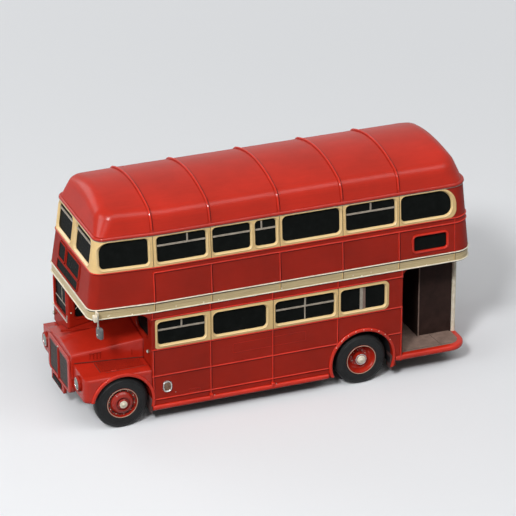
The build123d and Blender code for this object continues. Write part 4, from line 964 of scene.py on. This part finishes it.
class BUS_OT_cab_fittings(bpy.types.Operator):
    """Mirror, marker lamps, and bars, sill and knobs of the cab"""
    bl_idname = "bus.cab_fittings"
    bl_label = "Cab fittings"

    def execute(self, context):
        block_face = plane_near(19.3)
        block = [plate(block_face, (-7.8, -6.5, 34.2, 35.9), 0.3, -0.9, 0.75, 0.15),
                 plate(block_face, (-7.0, -6.4, 35.9, 36.9), 0.2, -0.9, 0.6, 0.15)]
        piece("mirror_bracket", block, "pale")
        piece("mirror_rod", [tube(points_of(-6.7, 19.9, np.linspace(36.0, 32.2, 8)), 0.24)], "drip")
        head = [plate(mirror_face, (-1.25, 1.25, -1.75, 1.75), 0.7, -0.35, 0.3, 0.2, 0.08)]
        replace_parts(piece("mirror_head", head, "mirror_grey"), "near_mirror")
        piece("mirror_pivot", [stud(mirror_face, -0.5, -0.5, 0.24, 0.55)], "pale")

        dome = ((0.0, 0.38), (0.24, 0.33), (0.42, 0.18), (0.52, 0.0), (0.52, -0.4), (0.0, -0.4))
        places = [points_of(BULKHEAD_AFT - 0.3, 17.0, 21.2), points_of(CAB_FRONT_AFT - 0.3, -18.0, 19.9)]
        piece("marker_glasses", [turned(place, (1, 0, 0), dome, 24) for place in places], "marker")

        screen, near_post = plane_ahead(CAB_FRONT_AFT), plane_near(CAB_NEAR_Y)
        pane = plane_ahead(CAB_FRONT_AFT + 0.5)
        bars = [bead_run(pane, (-17.8, 26.0), (-7.5, 26.0), 0.22, 0.16),
                bead_run(pane, (-12.0, 26.0), (-12.0, 30.2), 0.2, 0.14),
                bead_run(pane, (-12.0, 30.2), (-10.9, 31.7), 0.2, 0.14),
                bead_run(plane_near(CAB_NEAR_Y - 0.5), (-5.1, 25.8), (-2.6, 28.3), 0.2, 0.14)]
        piece("cab_window_bars", bars, "bar")
        sill = [bead_run(screen, (-18.4, 22.2), (-6.6, 22.2), 0.4, 0.3),
                bead_run(screen, (-6.6, 22.2), (-6.3, 24.2), 0.35, 0.28)]
        piece("windscreen_sill", sill, "drip")
        knobs = [stud(screen, -18.7, 22.5, 0.28, 0.35), stud(screen, -6.6, 22.1, 0.2, 0.3),
                 stud(near_post, -6.4, 25.2, 0.2, 0.3)]
        piece("cab_knobs", knobs, "pale")
        return {"FINISHED"}


class BUS_OT_platform_fittings(bpy.types.Operator):
    """Trim of the stair corner, floor joints, mud flaps and the studs of the rear wheel arch"""
    bl_idname = "bus.platform_fittings"
    bl_label = "Platform fittings"

    def execute(self, context):
        near, floor = plane_near(STAIR_NEAR_Y), plane_up(PLATFORM_Z)
        foot_z = PLATFORM_Z + 0.1
        trim = [upright(near, STAIR_FRONT_AFT + 0.2, (PLATFORM_Z, BAND_FOOT_Z), 0.4, 0.12),
                bead_run(near, (STAIR_FRONT_AFT, foot_z), (102.0, foot_z), 0.25, 0.12)]
        piece("stair_trim", trim, "floor_brown")
        joints = [bead_run(floor, (96.0, STAIR_NEAR_Y), (96.6, 18.0), 0.12, 0.02),
                  bead_run(floor, (84.0, 17.3), (100.0, 17.3), 0.12, 0.02)]
        piece("floor_joints", joints, "brown")
        flaps = [plate(plane_behind(aft), (15.2, 19.5, low, 7.5), 0.3, 0.0, 0.25, 0.08)
                 for aft, low in ((8.3, 3.0), (80.5, 2.9))]
        piece("mud_flaps", both(flaps), "rubber_flap")
        arch, radius = plane_near(HALF_WIDTH + 0.45), 9.9
        studs = []
        for angle in np.radians(np.arange(35, 150, 14)):
            aft, z = WHEELBASE - radius * math.cos(angle), AXLE_Z + radius * math.sin(angle)
            studs.append(stud(arch, aft, z, 0.14, 0.16, 8))
        piece("arch_studs", both(studs), "pale")
        return {"FINISHED"}


class BUS_OT_front_end(bpy.types.Operator):
    """Grille fins, headlamp glasses, filler button, bonnet and wing fittings, lamp and indicator frames"""
    bl_idname = "bus.front_end"
    bl_label = "Front end"

    def execute(self, context):
        pitch = context.scene.bus_sizes.fin_pitch
        sheets = []
        inner, outer = GRILLE_Y
        for low, high in ((inner, outer), (-outer, -inner)):
            y = NOSE_Y + np.linspace(low, high, 161)
            depth = 0.12 + 0.2 * np.abs(np.sin(math.pi * (y - y[0]) / pitch))
            rows = [points_of(GRILLE_AFT - depth, y, z) for z in GRILLE_Z]
            rows += [points_of(GRILLE_AFT, y, z) for z in (GRILLE_Z[-1], GRILLE_Z[0])]
            points, faces = grid(np.array(rows), closed_rows=True)
            ends = [[[row * len(y) + column for row in range(4)]] for column in (0, len(y) - 1)]
            sheets.append((points, np.vstack([faces, *ends])))
        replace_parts(piece("grille_fins", sheets, "grille", sharp=60.0), "radiator_grille")

        ahead, out, up = HEADLAMP
        places = [points_of(-ahead, side * out, up) for side in (1, -1)]
        lens = ((0.0, 0.26), (0.6, 0.24), (1.1, 0.16), (1.45, 0.04), (1.6, -0.1), (1.6, -0.35), (0.0, -0.35))
        piece("headlamp_glasses", [turned(place, (1, 0, 0), lens, 36) for place in places], "lens")
        for name, radius, thickness, finish in (("headlamp_rings", 1.72, 0.2, "chrome"),
                                                ("headlamp_outer_rims", 1.98, 0.42, "red")):
            piece(name, [ring_bead(place, (1, 0, 0), radius, thickness, 0.8, 44) for place in places], finish)

        button = ((0.0, 0.34), (0.14, 0.3), (0.24, 0.16), (0.28, 0.0), (0.28, -0.1), (0.0, -0.1))
        piece("filler_button", [turned(points_of(RADIATOR_AFT, NOSE_Y, 18.0), (1, 0, 0), button, 20)], "drip")
        bar = [bead_run(plane_ahead(RADIATOR_AFT), (NOSE_Y, 8.0), (NOSE_Y, 17.4), 0.8, 0.3)]
        piece("grille_centre_bar", bar, "red")

        # The tread panel's ridges are arches of a sine across the wing
        y = np.linspace(*TREAD_Y, 141)
        aft = np.array([-5.3, -5.2, 7.2, 7.3])[:, None]
        lift = np.array([-0.05, 0.1, 0.1, -0.05])[:, None]
        ridges = 0.1 * np.abs(np.sin(math.pi * (y - y[0]) / TREAD_PITCH))
        top = wing_top(aft, y[None], lift + ridges[None] * (lift > 0))
        foot = wing_top(aft, y[None], -0.1)
        piece("wing_tread_panel", [grid(np.concatenate([top, foot[::-1]]), closed_rows=True)], "red")
        # Painted shade: dark lines along the tread stand in for the shade in its grooves
        grooves = [bead_run(wing_top, (-4.9, row), (6.9, row), 0.12, 0.22)
                   for row in np.arange(11.3, 16.3, 0.55)]
        piece("wing_tread_grooves", grooves, "red_shade_line")
        edges = [bead_run(wing_top, (-5.4, 10.9), (-5.4, 16.6), 0.16, 0.04),
                 bead_run(wing_top, (-4.0, 17.2), (7.8, 17.0), 0.14, 0.04),
                 bead_run(bonnet_near, (-10.6, 17.45), (8.4, 17.45), 0.2, 0.05)]
        piece("wing_and_bonnet_joints", edges, "dark_gap_and_shadow")
        latches = [bead_run(bonnet_near, (a, 18.3), (a, 20.0), 0.28, 0.2) for a in (-6.3, -5.3, -4.3, -3.4)]
        latches += [bead_run(bonnet_near, (-6.4, 19.9), (-3.2, 20.2), 0.22, 0.22),
                    bead_run(bonnet_near, (5.3, 18.4), (5.3, 20.0), 0.2, 0.15)]
        piece("bonnet_latches", latches, "red")
        piece("wing_catch", [bead_run(wing_top, (-2.4, 16.8), (-0.8, 16.7), 0.3, 0.2)], "red_bead")

        lamp_frame = ((-0.1, 0.1), (-0.04, 0.34), (0.1, 0.46), (0.26, 0.42), (0.4, 0.24), (0.45, -0.02),
                      (0.2, -0.05))
        lamp_frames = both([rim(lower_side, SIDE_LAMP, 0.8, lamp_frame, 8)])
        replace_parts(piece("side_lamp_frames", lamp_frames, "chrome"), "side_lamps")
        piece("side_lamp_bulbs", both([stud(lower_side, 12.95, 10.75, 0.32, 0.4, 16)]), "amber")
        bezel = ((-0.05, 0.0), (0.0, 0.28), (0.15, 0.36), (0.32, 0.28), (0.38, 0.0), (0.15, -0.05))
        piece("indicator_frames", [rim(upper_front, row, 0.4, bezel, 4) for row in INDICATORS], "red")
        return {"FINISHED"}


class BUS_OT_wheels(bpy.types.Operator):
    """Rim rings, nuts, hub caps, collars and hand holes of the wheels"""
    bl_idname = "bus.wheels"
    bl_label = "Wheels"

    def execute(self, context):
        count = context.scene.bus_sizes.nut_count
        nut = ((0.0, 0.26), (0.08, 0.24), (0.14, 0.16), (0.16, 0.0), (0.0, 0.0))
        hole = ((0.0, 0.08), (0.3, 0.07), (0.34, 0.0), (0.0, -0.05))
        gap = ((3.28, -0.72), (3.28, -0.62), (3.5, -0.62), (3.52, -0.72), (3.28, -0.72))
        outward = (0, 1, 0)
        # Name, aft, y of the tyre's outer plane, radius of the nuts' circle, their seat, top of the hub cap
        rows = (("front", 0.0, 19.1, 3.68, -0.7, 0.9), ("rear", WHEELBASE, 18.9, 2.2, -2.2, 0.12))
        for name, aft, outer_y, nut_radius, nut_seat, top in rows:
            body = name + "_axle"
            centre = on_wheel(aft, outer_y)
            turns = [2 * math.pi * (i + 0.3) / count for i in range(count)]
            nuts = [turned(on_wheel(aft, outer_y + nut_seat, nut_radius, turn), outward, nut, 6)
                    for turn in turns]
            cap = [(0.0, top + 0.28), (0.25, top + 0.26), (0.42, top + 0.12), (0.5, top), (0.8, top - 0.02),
                   (1.1, top - 0.1), (1.25, top - 0.3), (1.25, top - 0.6), (0.0, top - 0.6)]
            piece(name + "_rim_rings", both([ring_bead(centre, outward, 4.32, 0.18, 0.8, 64)]), "ring", body)
            piece(name + "_wheel_nuts", both(nuts), "ring", body)
            piece(name + "_hub_caps", both([turned(centre, outward, cap, 36)]), "pale", body)
            if name == "front":
                # Painted shade: dark discs for the hand holes and a dark ring round the dome
                holes = [turned(on_wheel(aft, outer_y - 0.7, 3.55, turn + math.pi / count), outward, hole, 14)
                         for turn in turns]
                holes.append(turned(centre, outward, gap, 48))
                piece("front_hand_holes", both(holes), "dark_gap_and_shadow", body)
            else:
                collar = ring_bead(on_wheel(aft, outer_y - 0.3), outward, 1.5, 0.36, 1.0, 40)
                piece("rear_hub_collars", both([collar]), "chrome", body)
        return {"FINISHED"}


def seen_by_eye(owner):
    """Output that is 1 for rays that come from the camera, through a glass or off a gloss, and else 0."""
    ray = add(owner, "LightPath").outputs
    straight = add(owner, "Math", {"operation": "MAXIMUM"},
                   {0: ray["Is Camera Ray"], 1: ray["Is Transmission Ray"]})
    return add(owner, "Math", {"operation": "MAXIMUM"}, {0: straight, 1: ray["Is Glossy Ray"]})


def studio_paper(colour):
    """Matt paper of the floor.

    To the eye: pale, with the model's soft shadow; far off it glows in its own colour, so that it stays
    pale in low views and in reflections. Other rays meet a darker tone.
    """
    m = new_material("matt_studio_paper")
    shown = seen_by_eye(m)
    tone = add(m, "Mix", {"data_type": "RGBA", 6: linear(FLOOR_BOUNCE), 7: linear(colour)}, {0: shown})
    matt = add(m, "BsdfDiffuse", {}, {"Color": tone.outputs[2]})
    away = add(m, "VectorMath", {"operation": "LENGTH"}, {0: add(m, "TexCoord").outputs["Object"]})
    far = add(m, "MapRange", {"From Min": 0.15, "From Max": 0.6}, {"Value": away.outputs["Value"]})
    share = add(m, "Math", {"operation": "MULTIPLY"}, {0: far, 1: shown})
    glow = add(m, "Emission", {}, {"Color": tone.outputs[2]})
    paper = add(m, "MixShader", {}, {0: share, 1: matt, 2: glow})
    add(m, "OutputMaterial", {}, {"Surface": paper})
    return m


class BUS_OT_studio(bpy.types.Operator):
    """Floor, lights and camera"""
    bl_idname = "bus.studio"
    bl_label = "Studio"

    def execute(self, context):
        scene = context.scene
        bpy.ops.mesh.primitive_plane_add(size=8)
        floor = context.object
        floor.name = "studio_floor"
        floor.data.materials.append(studio_paper(hex_of(scene.bus_colours.floor)))

        world = bpy.data.worlds.new("studio_air")
        scene.world = world
        world.use_nodes = True
        world.node_tree.nodes.clear()
        strength = add(world, "MapRange", {"To Min": 0.2, "To Max": 0.9}, {"Value": seen_by_eye(world)})
        air = add(world, "Background", {"Color": linear("F2F1EE")}, {"Strength": strength})
        add(world, "OutputWorld", {}, {"Surface": air})

        for name, place, energy, size in LAMPS:
            lamp = bpy.data.objects.new(name, bpy.data.lights.new(name, "AREA"))
            lamp.data.energy = energy
            lamp.data.shape = "RECTANGLE"
            lamp.data.size, lamp.data.size_y = size
            lamp.location = place
            lamp.rotation_mode = "QUATERNION"
            lamp.rotation_quaternion = (Vector(LAMP_TARGET) - Vector(place)).to_track_quat("-Z", "Y")
            scene.collection.objects.link(lamp)

        camera = bpy.data.objects.new("camera", bpy.data.cameras.new("camera"))
        scene.collection.objects.link(camera)
        camera.data.sensor_width = CAMERA_SENSOR
        camera.data.lens = CAMERA_LENS
        camera.matrix_world = Matrix.Translation(CAMERA_PLACE)
        azimuth, elevation, roll = CAMERA_ANGLES
        for angle, axis in ((azimuth, "Z"), (90.0 - elevation, "X"), (roll, "Z")):
            camera.matrix_world = camera.matrix_world @ Matrix.Rotation(math.radians(angle), 4, axis)
        scene.camera = camera
        scene.view_settings.view_transform = "Standard"
        return {"FINISHED"}


class BUS_PT_panel(bpy.types.Panel):
    """Sidebar panel with the sizes, the colours and one button for each step"""
    bl_idname = "BUS_PT_panel"
    bl_label = "Bus model"
    bl_space_type = "VIEW_3D"
    bl_region_type = "UI"
    bl_category = "Bus model"

    def draw(self, context):
        for group in (context.scene.bus_sizes, context.scene.bus_colours):
            for name in group.bl_rna.properties.keys():
                if name not in ("rna_type", "name"):
                    self.layout.prop(group, name)
        for step in STEPS:
            self.layout.operator(step.bl_idname)


STEPS = (BUS_OT_finishes, BUS_OT_window_rims, BUS_OT_mouldings, BUS_OT_seams, BUS_OT_cab_fittings,
         BUS_OT_platform_fittings, BUS_OT_front_end, BUS_OT_wheels, BUS_OT_studio)
CLASSES = (BusSizes, BusColours, *STEPS, BUS_PT_panel)


def register():
    for cls in CLASSES:
        bpy.utils.register_class(cls)
    bpy.types.Scene.bus_sizes = bpy.props.PointerProperty(type=BusSizes)
    bpy.types.Scene.bus_colours = bpy.props.PointerProperty(type=BusColours)


def unregister():
    del bpy.types.Scene.bus_colours
    del bpy.types.Scene.bus_sizes
    for cls in reversed(CLASSES):
        bpy.utils.unregister_class(cls)


def main():
    register()
    bpy.ops.bus.finishes()
    bpy.ops.bus.window_rims()
    bpy.ops.bus.mouldings()
    bpy.ops.bus.seams()
    bpy.ops.bus.cab_fittings()
    bpy.ops.bus.platform_fittings()
    bpy.ops.bus.front_end()
    bpy.ops.bus.wheels()
    bpy.ops.bus.studio()


if __name__ == "__main__":
    main()
